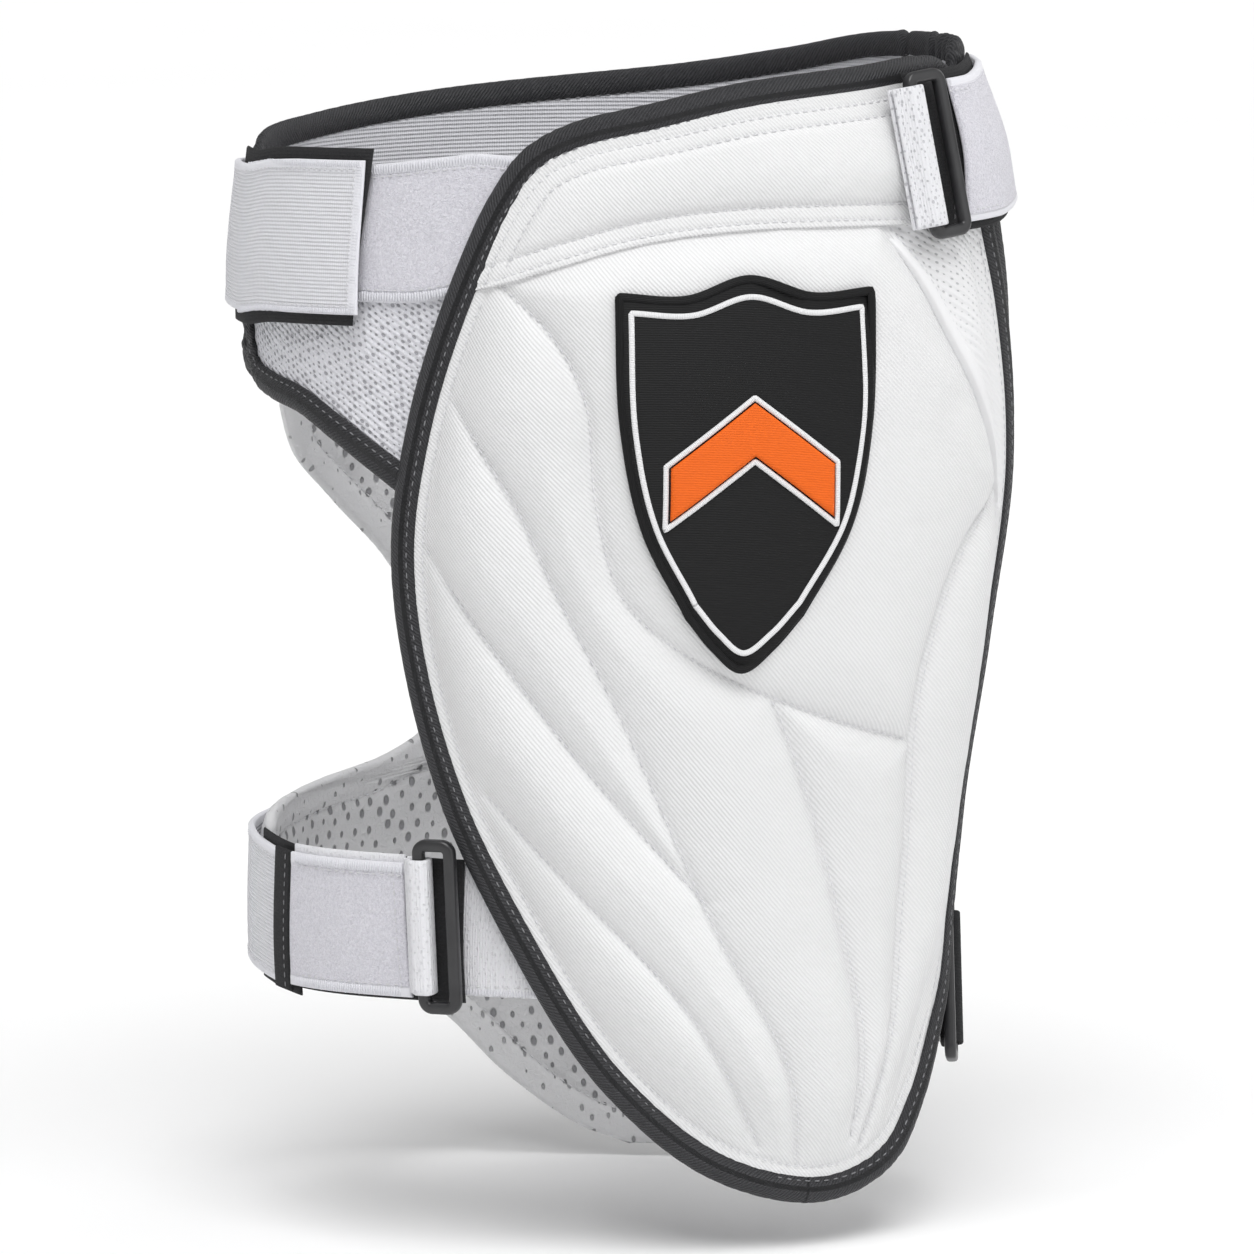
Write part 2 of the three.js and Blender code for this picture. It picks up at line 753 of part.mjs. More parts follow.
const padLook = { color: 0xf0f0f1, roughness: 0.75, metalness: 0 };
const meshLook = { color: 0xeeeef4, roughness: 0.85, metalness: 0 };
const pileLook = { color: 0xe4e2ee, roughness: 0.95, metalness: 0 };
const elasticLook = { color: 0xeeeef2, roughness: 0.85, metalness: 0 };
const webbingLook = { color: 0xe9e9f2, roughness: 0.85, metalness: 0 };
const bindingLook = { color: 0x2e2e31, roughness: 0.6, metalness: 0 };
const tapeLook = { color: 0x19191b, roughness: 0.9, metalness: 0 };
const plasticLook = { color: 0x303032, roughness: 0.35, metalness: 0 };
const liningLook = { color: 0xd0d0d2, roughness: 0.8, metalness: 0 };
const patchLook = { color: 0x0d0d0e, roughness: 0.7, metalness: 0 };
const chevronLook = { color: 0xff5a0a, roughness: 0.6, metalness: 0 };

// Front pad
const padRim = curveThrough(PAD_RIM, true);
const padInset = bindingWidth / 2 + bindingGap;
const padEdgeCurve = shifted(padRim, padInset, true);
const padOuterCurve = shifted(padRim, -bindingWidth / 2 - seamGap, true);
const padEdgeLine = sampled(padEdgeCurve, 160);
const topSeam = curveThrough(TOP_SEAM);
const gussetSeam = curveThrough(GUSSET_SEAM);
const channelLines = [topSeam, gussetSeam, ...CHANNELS.map((rows) => curveThrough(rows))].map((curve) =>
  sampled(curve, 14),
);

function padLift(point) {
  const side = THREE.MathUtils.smoothstep(point.x, ...sideTurns);
  const fromFlat = Math.max(distanceTo(padEdgeLine, point) - sideFlat * side, 0);
  const reach = THREE.MathUtils.lerp(edgeRoll, sideRoll, side);
  const roll = Math.sin((Math.min(fromFlat / reach, 1) * Math.PI) / 2);
  const crown = padCrown * readTable(CROWN, "up", "share", point.y / hollowHeight);
  let dent = 0;
  for (const line of channelLines) {
    dent = Math.max(dent, Math.exp(-((distanceTo(line, point) / seamWidth) ** 2)));
  }
  return padEdge + crown * roll - seamDepth * dent * roll;
}

// A flat curve through samples of another, with its ends moved to two given points
function pinned(curve, first, last) {
  const points = sampled(curve, 12);
  points[0] = first;
  points[points.length - 1] = last;
  return curveThrough(points.map((point) => ({ turn: point.x, up: point.y / hollowHeight })));
}

// Shares of the pad's edge at its corners, and the share that half a seam's gap takes
const padShare = {
  tip: 0.035,
  seamLeft: shareNear(padEdgeCurve, flat(TOP_SEAM[0])),
  topLeft: shareNear(padEdgeCurve, flat(PAD_CORNERS.left)),
  topRight: shareNear(padEdgeCurve, flat(PAD_CORNERS.right)),
  seamRight: shareNear(padEdgeCurve, flat(TOP_SEAM[TOP_SEAM.length - 1])),
  gussetFoot: shareNear(padEdgeCurve, flat(GUSSET_SEAM[0])),
};
const rimLength = 2 * hollowHeight + hollowWidth;
const seamShare = seamGap / 2 / rimLength;
const gussetShare = gussetGap / 2 / rimLength;
const gussetFootShare = gussetFootWidth / rimLength;
const gussetTopShare = shareNear(topSeam, flat(GUSSET_SEAM[GUSSET_SEAM.length - 1]));
const padEdgePart = (from, to) => stretch(padEdgeCurve, from, to, true);

// The point where the three panels meet, moved sideways by a clearance
function panelCorner(line, share, aside) {
  const corner = line(share);
  return new THREE.Vector2(corner.x + aside / mmPerDegree(corner, padEdge), corner.y);
}

function thighPad() {
  const topLine = shifted(stretch(topSeam, 0, gussetTopShare), seamGap / 2);
  const corner = panelCorner(topLine, 1, -gussetGap / 2);
  const seamLeft = padShare.seamLeft - seamShare;
  const gussetFoot = padShare.gussetFoot + gussetShare;
  const seam = pinned(shifted(gussetSeam, -gussetGap / 2), padEdgeCurve(gussetFoot), corner);
  const side = padEdgePart(1 - padShare.tip, gussetFoot);
  const gussetStart = 0.7;
  return panel("thigh_pad", padLook, {
    patch: between({
      bottom: padEdgePart(padShare.tip, -padShare.tip),
      top: pinned(topLine, padEdgeCurve(seamLeft), corner),
      left: padEdgePart(padShare.tip, seamLeft),
      right: (v) => (v < gussetStart ? side(v / gussetStart) : seam((v - gussetStart) / (1 - gussetStart))),
    }),
    inner: () => padBackLift,
    outer: padLift,
    across: 30,
    along: 40,
    backAcross: 8,
    backAlong: 20,
  });
}

function topPanel() {
  const seamLeft = padShare.seamLeft + seamShare;
  const seamRight = padShare.seamRight - seamShare;
  const line = shifted(topSeam, -seamGap / 2);
  return panel("top_panel", padLook, {
    patch: between({
      bottom: pinned(line, padEdgeCurve(seamLeft), padEdgeCurve(seamRight)),
      top: padEdgePart(padShare.topLeft, padShare.topRight),
      left: padEdgePart(seamLeft, padShare.topLeft),
      right: padEdgePart(seamRight, padShare.topRight),
    }),
    inner: () => padBackLift,
    outer: padLift,
    across: 24,
    along: 8,
    backAcross: 12,
    backAlong: 3,
  });
}

function meshGusset() {
  const topLine = shifted(stretch(topSeam, gussetTopShare, 1), seamGap / 2);
  const corner = panelCorner(topLine, 0, gussetGap / 2);
  const footLeft = padShare.gussetFoot - gussetShare;
  const footRight = footLeft - gussetFootShare;
  const seamRight = padShare.seamRight + seamShare;
  return panel("mesh_gusset", meshLook, {
    patch: between({
      bottom: padEdgePart(footLeft, footRight),
      top: pinned(topLine, corner, padEdgeCurve(seamRight)),
      left: pinned(shifted(gussetSeam, gussetGap / 2), padEdgeCurve(footLeft), corner),
      right: padEdgePart(footRight, seamRight),
    }),
    inner: () => padBackLift,
    outer: padLift,
    across: 7,
    along: 12,
    backAcross: 3,
    backAlong: 6,
  });
}

function padBinding() {
  return bead("pad_binding", bindingLook, {
    curve: padRim,
    lift: () => padBackLift + bindingHeight / 2,
    width: bindingWidth,
    height: bindingHeight,
    steps: 84,
    sides: 8,
    closed: true,
  });
}

// Emblem: a plain shield with a chevron across it
function shieldPoint({ side, rise }, half = 1) {
  const height = emblemUp * hollowHeight + rise * emblemHeight;
  const point = new THREE.Vector2(emblemTurn, height);
  point.x += (half * side * emblemWidth) / 2 / mmPerDegree(point, padEdge + padCrown);
  return { turn: point.x, up: point.y / hollowHeight };
}

function mirroredRows(rows) {
  const left = rows.slice(1).reverse();
  return [...left.map((row) => shieldPoint(row, -1)), ...rows.map((row) => shieldPoint(row))];
}

function emblemPatch() {
  return panel("emblem_patch", patchLook, {
    patch: between({
      bottom: curveThrough(mirroredRows(SHIELD_FOOT)),
      top: curveThrough(mirroredRows(SHIELD_TOP)),
      left: curveThrough(SHIELD_SIDE.map((row) => shieldPoint(row, -1))),
      right: curveThrough(SHIELD_SIDE.map((row) => shieldPoint(row))),
    }),
    inner: (point) => padLift(point) + emblemGap,
    outer: (point) => padLift(point) + emblemGap + emblemWall,
    across: 8,
    along: 12,
  });
}

function emblemChevron() {
  const row = (u, v) => {
    const side = (2 * u - 1) * chevronReach;
    const rise = chevronPeak - chevronDrop * Math.abs(side) + ((v - 0.5) * chevronWidth) / emblemHeight;
    return flat(shieldPoint({ side, rise }));
  };
  const base = (point) => padLift(point) + emblemGap + emblemWall + seamGap;
  return panel("emblem_chevron", chevronLook, {
    patch: row,
    inner: base,
    outer: (point) => base(point) + chevronWall,
    across: 10,
    along: 2,
  });
}

// Wing
const wingRim = curveThrough(WING_RIM);
const wingInner = shifted(wingRim, padInset);
const wingCorner = 0.5; // share of its rim where the foot turns up into the end
const wingFootClear = 0.012;
const pileLift = padBackLift + meshWall + layerGap;

// Part of the line just outside the pad's binding, between two heights on its left side
function besidePad(lowUp, highUp) {
  const shareAt = (up) => shareAtHeight(padOuterCurve, up * hollowHeight, padShare.tip, padShare.topLeft);
  return stretch(padOuterCurve, shareAt(lowUp), shareAt(highUp));
}

function meshWing() {
  const right = besidePad(WING_RIM[0].up + wingFootClear, WING_TOP[WING_TOP.length - 1].up);
  const top = pinned(curveThrough(WING_TOP), wingInner(1), right(1));
  return panel("mesh_wing", meshLook, {
    patch: between({
      bottom: pinned(stretch(wingInner, wingCorner, 0), wingInner(wingCorner), right(0)),
      top,
      left: stretch(wingInner, wingCorner, 1),
      right,
    }),
    inner: () => padBackLift,
    outer: () => padBackLift + meshWall,
    across: 10,
    along: 6,
  });
}

function wingBinding() {
  return bead("wing_binding", bindingLook, {
    curve: wingRim,
    lift: () => padBackLift + bandBindingHeight / 2,
    width: bindingWidth,
    height: bandBindingHeight,
    steps: 22,
    sides: 6,
  });
}

function wingPile() {
  const right = besidePad(PILE_FOOT[PILE_FOOT.length - 1].up, PILE_TOP[PILE_TOP.length - 1].up);
  const top = pinned(curveThrough(PILE_TOP), flat(PILE_TOP[0]), right(1));
  const bottom = pinned(curveThrough(PILE_FOOT), flat(PILE_FOOT[0]), right(0));
  return panel("wing_pile_panel", pileLook, {
    patch: between({ bottom, top, left: straight(bottom(0), top(0)), right }),
    inner: () => pileLift,
    outer: () => pileLift + pileWall,
    across: 12,
    along: 4,
  });
}

// Back band
const bandRim = curveThrough(BAND_RIM, true);
const bandInner = shifted(bandRim, bindingWidth / 2 + bandGap, true);

function backBand() {
  const at = (corner) => shareNear(bandInner, flat(corner));
  const rim = at(BAND_CORNERS.rim);
  const endTop = at(BAND_CORNERS.endTop);
  const endFoot = at(BAND_CORNERS.endFoot);
  const part = (from, to) => stretch(bandInner, from, to, true);
  return panel("back_band", elasticLook, {
    patch: between({
      bottom: part(1, endFoot),
      top: part(rim, endTop),
      left: part(0, rim),
      right: part(endFoot, endTop),
    }),
    inner: () => padBackLift,
    outer: () => padBackLift + bandWall,
    across: 30,
    along: 4,
  });
}

function bandBinding() {
  return bead("band_binding", bindingLook, {
    curve: bandRim,
    lift: () => padBackLift + bandBindingHeight / 2,
    width: bindingWidth,
    height: bandBindingHeight,
    steps: 64,
    sides: 6,
    closed: true,
  });
}

// Back pad
function backPad() {
  const rowAt = (v) => {
    const at = (1 - v) * (BACK_EDGE.length - 1);
    const i = Math.min(Math.floor(at), BACK_EDGE.length - 2);
    const mix = (column) => THREE.MathUtils.lerp(BACK_EDGE[i][column], BACK_EDGE[i + 1][column], at - i);
    return { left: mix("left"), right: mix("right"), up: mix("up") };
  };
  const patch = (u, v) => {
    const row = rowAt(v);
    const turn = backTurn + THREE.MathUtils.lerp(-row.right, row.left, u);
    return new THREE.Vector2(turn, row.up * hollowHeight);
  };
  const border = [];
  for (const row of BACK_EDGE) border.push(flat({ turn: backTurn - row.right, up: row.up }));
  for (const row of [...BACK_EDGE].reverse()) border.push(flat({ turn: backTurn + row.left, up: row.up }));
  return panel("back_pad", liningLook, {
    patch,
    inner: () => padBackLift,
    outer: (point) => {
      const roll = Math.min(distanceTo(border, point) / backPadRoll, 1);
      return padBackLift + backPadEdge + (backPadWall - backPadEdge) * Math.sin((roll * Math.PI) / 2);
    },
    across: 16,
    along: BACK_EDGE.length - 1,
  });
}

// Upper strap, its ring and tapes
const topSeat = seatAt(TOP_RING.turn, TOP_RING.up, topRingLift, TOP_RING.lean);
const tapeUnder = { lower: -tapeGap - tapeWall, upper: -tapeGap };
const elasticLayer = { lower: 0, upper: elasticWall };

function upperStraps() {
  const common = { rows: UPPER_STRAP, width: upperStrapWidth };
  return [
    strap("upper_pile_strap", pileLook, {
      ...common, ...elasticLayer, from: upperStart, to: upperSplice, leanStart: upperStartLean,
    }),
    strap("upper_elastic_strap", elasticLook, {
      ...common, ...elasticLayer, from: upperSplice + spliceGap, to: upperEnd,
    }),
    strap("upper_hook_tape", tapeLook, {
      ...common, ...tapeUnder, width: upperTapeWidth, from: upperTapeStart, to: upperTapeEnd,
      leanEnd: upperTapeLean,
    }),
    strap("ring_tape", tapeLook, {
      ...common, ...tapeUnder, width: ringTapeWidth, from: ringTapeStart, to: ringTapeEnd,
    }),
    ring("top_ring", plasticLook, topSeat, topRingWidth, topRingHeight),
    barLoop("top_loop", webbingLook, topSeat, topRingWidth, -1, upperStrapWidth),
  ];
}

// Lower strap at the front left, in layers over the anchor
function lowerLeft() {
  const seat = seatAt(LEFT_RING.turn, LEFT_RING.up, lowerRingLift, LEFT_RING.lean);
  const at = flat(LEFT_RING);
  const tail = LEFT_RING.turn - (loopReach(lowerRingWidth) + loopGap) / mmPerDegree(at, lowerRingLift);
  const leanEnd = Math.tan(LEFT_RING.lean * degree) * (lowerStrapWidth / 2);
  const common = { rows: LOWER_FRONT, width: lowerStrapWidth };
  const returnLift = lowerTapeLift + tapeWall + layerGap;
  const pileSeat = returnLift + tapeWall + layerGap;
  const side = besidePad(anchorFoot, anchorTop);
  const corner = (up) => flat({ turn: anchorStart, up });
  return [
    panel("lower_anchor", webbingLook, {
      patch: between({
        bottom: straight(corner(anchorFoot), side(0)),
        top: straight(corner(anchorTop), side(1)),
        left: straight(corner(anchorFoot), corner(anchorTop)),
        right: side,
      }),
      inner: () => anchorLift,
      outer: () => anchorLift + webbingWall,
      across: 5,
      along: 5,
    }),
    strap("lower_hook_tape", tapeLook, {
      ...common, width: lowerTapeWidth, from: lowerTapeStart, to: lowerTapeEnd,
      lower: lowerTapeLift, upper: lowerTapeLift + tapeWall, leanEnd: lowerTapeLean,
    }),
    strap("lower_strap_return", webbingLook, {
      ...common, rise: returnRise, from: lowerReturnStart, to: tail,
      lower: returnLift, upper: returnLift + tapeWall, leanEnd,
    }),
    strap("lower_pile_strap", pileLook, {
      ...common, from: lowerPileStart, to: tail, lower: pileSeat, upper: pileSeat + pileWall, leanEnd,
    }),
    ring("lower_ring_left", plasticLook, seat, lowerRingWidth, lowerRingHeight),
    barLoop("lower_loop_left", webbingLook, seat, lowerRingWidth, -1, lowerStrapWidth),
  ];
}

// Lower strap round the back to its ring beside the pad's right edge
function lowerRight() {
  const lift = lowerRingLift - rightDrop;
  const seat = seatAt(RIGHT_RING.turn, RIGHT_RING.up, lift, RIGHT_RING.lean);
  const at = flat(RIGHT_RING);
  const scale = mmPerDegree(at, lift);
  const start = RIGHT_RING.turn + (loopReach(lowerRingWidth) + loopGap) / scale;
  const leaning = Math.tan(RIGHT_RING.lean * degree) * (lowerStrapWidth / 2);
  const low = shareNear(padOuterCurve, flat(RIGHT_TAPE_FOOT));
  const high = shareNear(padOuterCurve, flat(RIGHT_TAPE_TOP));
  const left = stretch(padOuterCurve, low, high);
  const edge = (side) => {
    const point = at.clone();
    point.x += (lowerRingWidth / 2 + side * leaning) / scale;
    point.y += (side * lowerStrapWidth) / 2;
    return point;
  };
  return [
    panel("lower_tape_right", tapeLook, {
      patch: between({
        bottom: straight(left(0), edge(-1)),
        top: straight(left(1), edge(1)),
        left,
        right: straight(edge(-1), edge(1)),
      }),
      inner: () => lowerTapeLift - rightDrop,
      outer: () => lowerTapeLift - rightDrop + tapeWall,
      across: 4,
      along: 5,
    }),
    ring("lower_ring_right", plasticLook, seat, lowerRingWidth, lowerRingHeight),
    barLoop("lower_loop_right", webbingLook, seat, lowerRingWidth, 1, lowerStrapWidth),
    strap("lower_elastic_strap", elasticLook, {
      rows: LOWER_STRAP, width: lowerStrapWidth, from: start, to: lowerEnd,
      ...elasticLayer, leanStart: leaning,
    }),
  ];
}

const guard = new THREE.Group();
guard.add(thighPad(), topPanel(), meshGusset(), padBinding(), emblemPatch(), emblemChevron());
guard.add(meshWing(), wingBinding(), wingPile(), backBand(), bandBinding(), backPad());
guard.add(...upperStraps(), ...lowerLeft(), ...lowerRight());

export default guard;
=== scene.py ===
"""Cricket thigh guard: a quilted front pad and a perforated back pad round an open thigh hollow,
joined by an elastic band, an upper strap and a lower strap with slide rings."""

import math

import bpy
import numpy as np
from mathutils import Matrix, Vector
from mathutils.bvhtree import BVHTree


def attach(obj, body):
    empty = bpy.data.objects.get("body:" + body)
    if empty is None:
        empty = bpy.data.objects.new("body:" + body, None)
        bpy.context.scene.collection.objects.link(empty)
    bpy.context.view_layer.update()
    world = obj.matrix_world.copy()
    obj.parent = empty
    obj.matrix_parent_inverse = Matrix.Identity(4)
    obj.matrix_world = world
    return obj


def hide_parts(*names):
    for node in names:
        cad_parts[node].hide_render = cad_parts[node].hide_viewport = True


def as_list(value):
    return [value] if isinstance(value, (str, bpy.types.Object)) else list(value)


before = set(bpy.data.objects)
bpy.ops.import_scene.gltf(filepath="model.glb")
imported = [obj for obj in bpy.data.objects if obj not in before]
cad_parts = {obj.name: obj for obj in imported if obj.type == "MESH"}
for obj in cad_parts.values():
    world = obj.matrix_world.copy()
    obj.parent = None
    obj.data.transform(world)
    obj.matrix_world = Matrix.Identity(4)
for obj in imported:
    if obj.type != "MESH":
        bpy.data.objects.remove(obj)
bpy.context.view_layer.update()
scene = bpy.context.scene

# Camera

VIEW_DISTANCE = 3.0
VIEW_RISE = math.radians(9)
SENSOR = 36.0
FRAME_PIXELS = 1254
PIXELS_PER_METRE = 3000

camera = bpy.data.objects.new("view", bpy.data.cameras.new("view"))
scene.collection.objects.link(camera)
camera.data.sensor_width = SENSOR
camera.data.lens = SENSOR * (VIEW_DISTANCE * PIXELS_PER_METRE) / FRAME_PIXELS
camera.location = (0, -VIEW_DISTANCE * math.cos(VIEW_RISE), VIEW_DISTANCE * math.sin(VIEW_RISE))
camera.rotation_euler = (math.pi / 2 - VIEW_RISE, 0, 0)
scene.camera = camera

# Sizes in millimetres, as the solids have them. A turn is in degrees round the thigh, from the front to the
# right. A lift is how far a face stands off the thigh.

MM = 0.001
TALL, WIDE, DEEP = 390.0, 243.0, 184.0
BACK_LIFT = 0.5
PAD_EDGE, PAD_CROWN, EDGE_ROLL = 6.5, 11.0, 30.0
SIDE_FLAT, SIDE_ROLL, SIDE_TURNS = 14.0, 34.0, (46.0, 72.0)
SEAM_DEPTH, SEAM_REACH = 4.8, 7.5
BORDER = 4.2
BINDING_WIDE, BINDING_TALL, BAND_BINDING_TALL = 9.0, 8.0, 5.5
MESH_WALL, BAND_WALL, PILE_WALL, TAPE_WALL = 3.0, 3.0, 1.5, 1.2
ELASTIC_WALL, WEBBING_WALL = 2.0, 1.6
BACK_WALL, BACK_EDGE_WALL, BACK_ROLL, BACK_TURN = 7.0, 4.0, 14.0, 172.0
UPPER_WIDE, UPPER_TAPE_WIDE, RING_TAPE_WIDE = 46.0, 54.0, 52.0
LOWER_WIDE, LOWER_TAPE_WIDE = 45.0, 48.0
EMBLEM_TURN, EMBLEM_UP, EMBLEM_WIDE, EMBLEM_TALL = 17.0, 0.168, 86.0, 128.0
TOP_RING = {"turn": 50.5, "up": 0.424, "lift": 15.4, "lean": 3, "wide": 17, "tall": 55}
LEFT_RING = {"turn": -27.2, "up": -0.219, "lift": 8.7, "lean": -5, "wide": 15, "tall": 58}
RIGHT_RING = {"turn": 86.5, "up": -0.3, "lift": 6.3, "lean": 22, "wide": 15, "tall": 58}
RING_BAR, RING_WALL, RING_CORNER, LOOP_TAIL = 4.0, 4.0, 4.8, 1.5
LOWER_TAPE_LIFT, RETURN_LIFT, RETURN_WALL, LOWER_PILE_LIFT = 3.1, 4.8, 1.3, 6.4

# The hollow's ovals: rows of (share of the height, share of the width, share of the depth, lean)
HOLLOW = [
    (-0.53, 0.864, 0.783, -0.012), (-0.487, 0.872, 0.804, -0.012), (-0.385, 0.897, 0.87, -0.021),
    (-0.256, 0.901, 0.935, -0.033), (-0.154, 0.909, 0.957, -0.025), (0, 0.947, 0.978, -0.008),
    (0.154, 0.992, 1, 0), (0.295, 1, 0.989, -0.002), (0.41, 0.963, 0.957, -0.004),
    (0.487, 0.905, 0.924, -0.016), (0.53, 0.87, 0.9, -0.022),
]
# Lines of (turn, share of the height), on the bindings' middles and along the seams
PAD_RIM = [
    (33, -0.453), (16, -0.424), (1, -0.353), (-12.5, -0.238), (-26, -0.116), (-33.5, -0.005),
    (-35.6, 0.094), (-31.9, 0.205), (-24.6, 0.317), (-18.7, 0.39), (-14, 0.425), (-7, 0.445),
    (5, 0.46), (21, 0.4765), (45, 0.486), (59, 0.4895), (65, 0.486), (68.6, 0.47),
    (69.4, 0.445), (69, 0.41), (70, 0.348), (75.5, 0.27), (81.5, 0.19), (84, 0.12),
    (84.5, 0), (85, -0.12), (84, -0.22), (78, -0.29), (69.2, -0.339), (61.2, -0.388),
    (53.8, -0.428), (44, -0.449),
]
TOP_SEAM = [
    (-22.5, 0.314), (-9.1, 0.34), (3.2, 0.359), (17.3, 0.368), (41, 0.367), (67, 0.36),
]
GUSSET_SEAM = [
    (75, 0.1), (66.5, 0.15), (61.1, 0.195), (51.8, 0.268), (45.2, 0.329), (41, 0.367),
]
CHANNELS = [
    [(-18.2, 0.322), (-10.8, 0.286), (-5.8, 0.231), (-4.3, 0.142), (0, 0.063), (11.2, 0.01),
     (32.3, -0.041), (48.8, -0.068)],
    [(-26, 0.225), (-16.7, 0.152), (-9.4, 0.065), (1.8, -0.052), (15, -0.195), (28.7, -0.337),
     (31.3, -0.43)],
    [(-31, 0.1), (-18.3, 0.016), (-4.4, -0.079), (15.5, -0.195)],
    [(-20, -0.105), (-6.6, -0.173), (12.5, -0.282), (24.2, -0.411)],
    [(22.8, -0.023), (33.1, -0.142), (43, -0.3), (42.6, -0.411)],
    [(66.5, 0.136), (56.5, 0.093), (49.8, -0.031), (52, -0.153), (51.1, -0.306), (44.8, -0.418)],
]
# How far the pad is stuffed at a height: rows of (share of the height, share of the crown)
CROWN = [
    (-0.45, 0.55), (-0.3, 0.95), (0, 1), (0.22, 1), (0.3, 0.8), (0.37, 0.38), (0.42, 0.28), (0.49, 0.26),
]
# The right half of the shield: rows of (share of half the width, share of the height)
SHIELD_FOOT = [
    (0, -0.5), (0.22, -0.445), (0.44, -0.36),
]
SHIELD_SIDE = [
    (0.44, -0.36), (0.8, -0.14), (0.97, 0.12), (1, 0.46),
]
SHIELD_TOP = [
    (0, 0.5), (0.5, 0.452), (1, 0.46),
]
# Lines of (turn, share of the height) for the wing, its pile and the back band
WING_RIM = [
    (-39.2, 0.165), (-48.8, 0.192), (-58, 0.212), (-68, 0.22), (-76, 0.229), (-80.3, 0.253),
    (-81.3, 0.3), (-81.3, 0.408),
]
WING_TOP = [
    (-78, 0.408), (-60, 0.411), (-41.9, 0.413), (-29, 0.421), (-18, 0.427),
]
PILE_TOP = [
    (-76, 0.41), (-60, 0.413), (-41.9, 0.416), (-29, 0.425), (-18, 0.432),
]
PILE_FOOT = [
    (-76, 0.302), (-40, 0.302), (-31, 0.305), (-27, 0.31),
]
BAND_RIM = [
    (88.5, 0.213), (83.5, 0.265), (78.5, 0.335), (76.5, 0.42), (76.3, 0.475), (81, 0.49),
    (101, 0.492), (130, 0.485), (151, 0.466), (172, 0.449), (211, 0.431), (240, 0.418),
    (264, 0.41), (271.4, 0.398), (272.4, 0.36), (272.4, 0.28), (271.4, 0.242), (264, 0.224),
    (240, 0.204), (180, 0.2), (120, 0.202), (94, 0.202),
]
# The back pad's outline: rows of (degrees to its left, degrees to its right, share of the height)
BACK_EDGE = [
    (78, 76, 0.1865), (74, 73, 0.14), (63, 63, 0.09), (50, 50, 0.027), (42.5, 42.5, -0.05),
    (42, 42, -0.115), (52, 50, -0.142), (75, 62, -0.155), (94, 67, -0.163), (97, 69, -0.18),
    (97, 69, -0.27), (90, 66, -0.292), (66, 56, -0.315), (42, 39, -0.362), (27, 25, -0.434),
    (15, 14, -0.477), (6, 6, -0.493),
]
# The straps' middles: rows of (turn, share of the height, lift of the inner face)
UPPER_STRAP = [
    (47, 0.423, 12.8), (66, 0.424, 12.8), (72, 0.426, 11.6), (82, 0.43, 9.4),
    (93, 0.43, 7.2), (118, 0.416, 7), (150, 0.39, 4.1), (180, 0.366, 4.1),
    (240, 0.342, 4.1), (252, 0.34, 4.2), (262, 0.341, 7), (268, 0.342, 8.9),
    (285, 0.343, 8.9), (296, 0.35, 8.5), (322, 0.357, 8.5),
]
LOWER_STRAP = [
    (90, -0.305, 5.6), (108, -0.288, 8), (180, -0.248, 8), (240, -0.228, 8),
    (266, -0.228, 8), (276, -0.231, 6.6), (286, -0.233, 5.2), (300, -0.235, 4.9),
]
LOWER_FRONT = [
    (-80, -0.234), (-60, -0.231), (-29, -0.2245), (-5, -0.223),
]

# The thigh's form. A flat point is (turn, height in millimetres).


def read_table(rows, at, column=1, key=0):
    """A column's value at a key, on a smooth curve through the rows that never passes them."""
    rows = np.asarray(rows, float)
    keys, values = rows[:, key], rows[:, column]
    at = np.clip(np.asarray(at, float), keys[0], keys[-1])
    step = np.diff(keys)
    rise = np.diff(values) / step
    same = rise[:-1] * rise[1:] > 0
    total = np.where(same, rise[:-1] + rise[1:], 1)
    mean = np.where(same, 2 * rise[:-1] * rise[1:] / total, 0)
    before, after = np.insert(mean, 0, rise[0]), np.append(mean, rise[-1])
    i = np.clip(np.searchsorted(keys, at, side="right") - 1, 0, len(step) - 1)
    t = (at - keys[i]) / step[i]
    bend = t * t * (3 - 2 * t)
    ends = t * (1 - t) ** 2 * before[i] - t * t * (1 - t) * after[i]
    return values[i] * (1 - bend) + values[i + 1] * bend + ends * step[i]


def section(height):
    """Half the hollow's width and depth at a height, and how far it leans."""
    up = height / TALL
    wide = read_table(HOLLOW, up, 1) * WIDE / 2
    deep = read_table(HOLLOW, up, 2) * DEEP / 2
    return wide, deep, read_table(HOLLOW, up, 3) * WIDE


def on_thigh(flat, lift):
    """Places in metres of flat points of (turn, height) at a lift."""
    flat = np.asarray(flat, float)
    wide, deep, lean = section(flat[..., 1])
    angle = np.radians(flat[..., 0])
    x = lean + (wide + lift) * np.sin(angle)
    y = -(deep + lift) * np.cos(angle)
    return np.stack([x, y, flat[..., 1] + 0 * x], -1) * MM


def outward(flat):
    """Directions straight out from the thigh at flat points."""
    flat = np.asarray(flat, float)
    wide, deep, _ = section(flat[..., 1])
    angle = np.radians(flat[..., 0])
    out = np.stack([np.sin(angle) / wide, -np.cos(angle) / deep, 0 * angle], -1)
    return out / np.linalg.norm(out, axis=-1, keepdims=True)


def per_degree(flat, lift=PAD_EDGE):
    """Millimetres in one degree round the thigh."""
    flat = np.asarray(flat, float)
    wide, deep, _ = section(flat[..., 1])
    angle = np.radians(flat[..., 0])
    return np.radians(np.hypot((wide + lift) * np.cos(angle), (deep + lift) * np.sin(angle)))


FRONT_SCALE = float(per_degree((0.0, 0.0), 0))
ROUND = np.arange(-120, 421)
ROUND_MM = np.concatenate([[0], np.cumsum(per_degree(np.stack([ROUND[:-1] + 0.5, 0 * ROUND[:-1]], -1)))])


def mm_round(turn):
    """Millimetres round the thigh at a turn."""
    return np.interp(turn, ROUND, ROUND_MM) - np.interp(0, ROUND, ROUND_MM)


# Flat lines


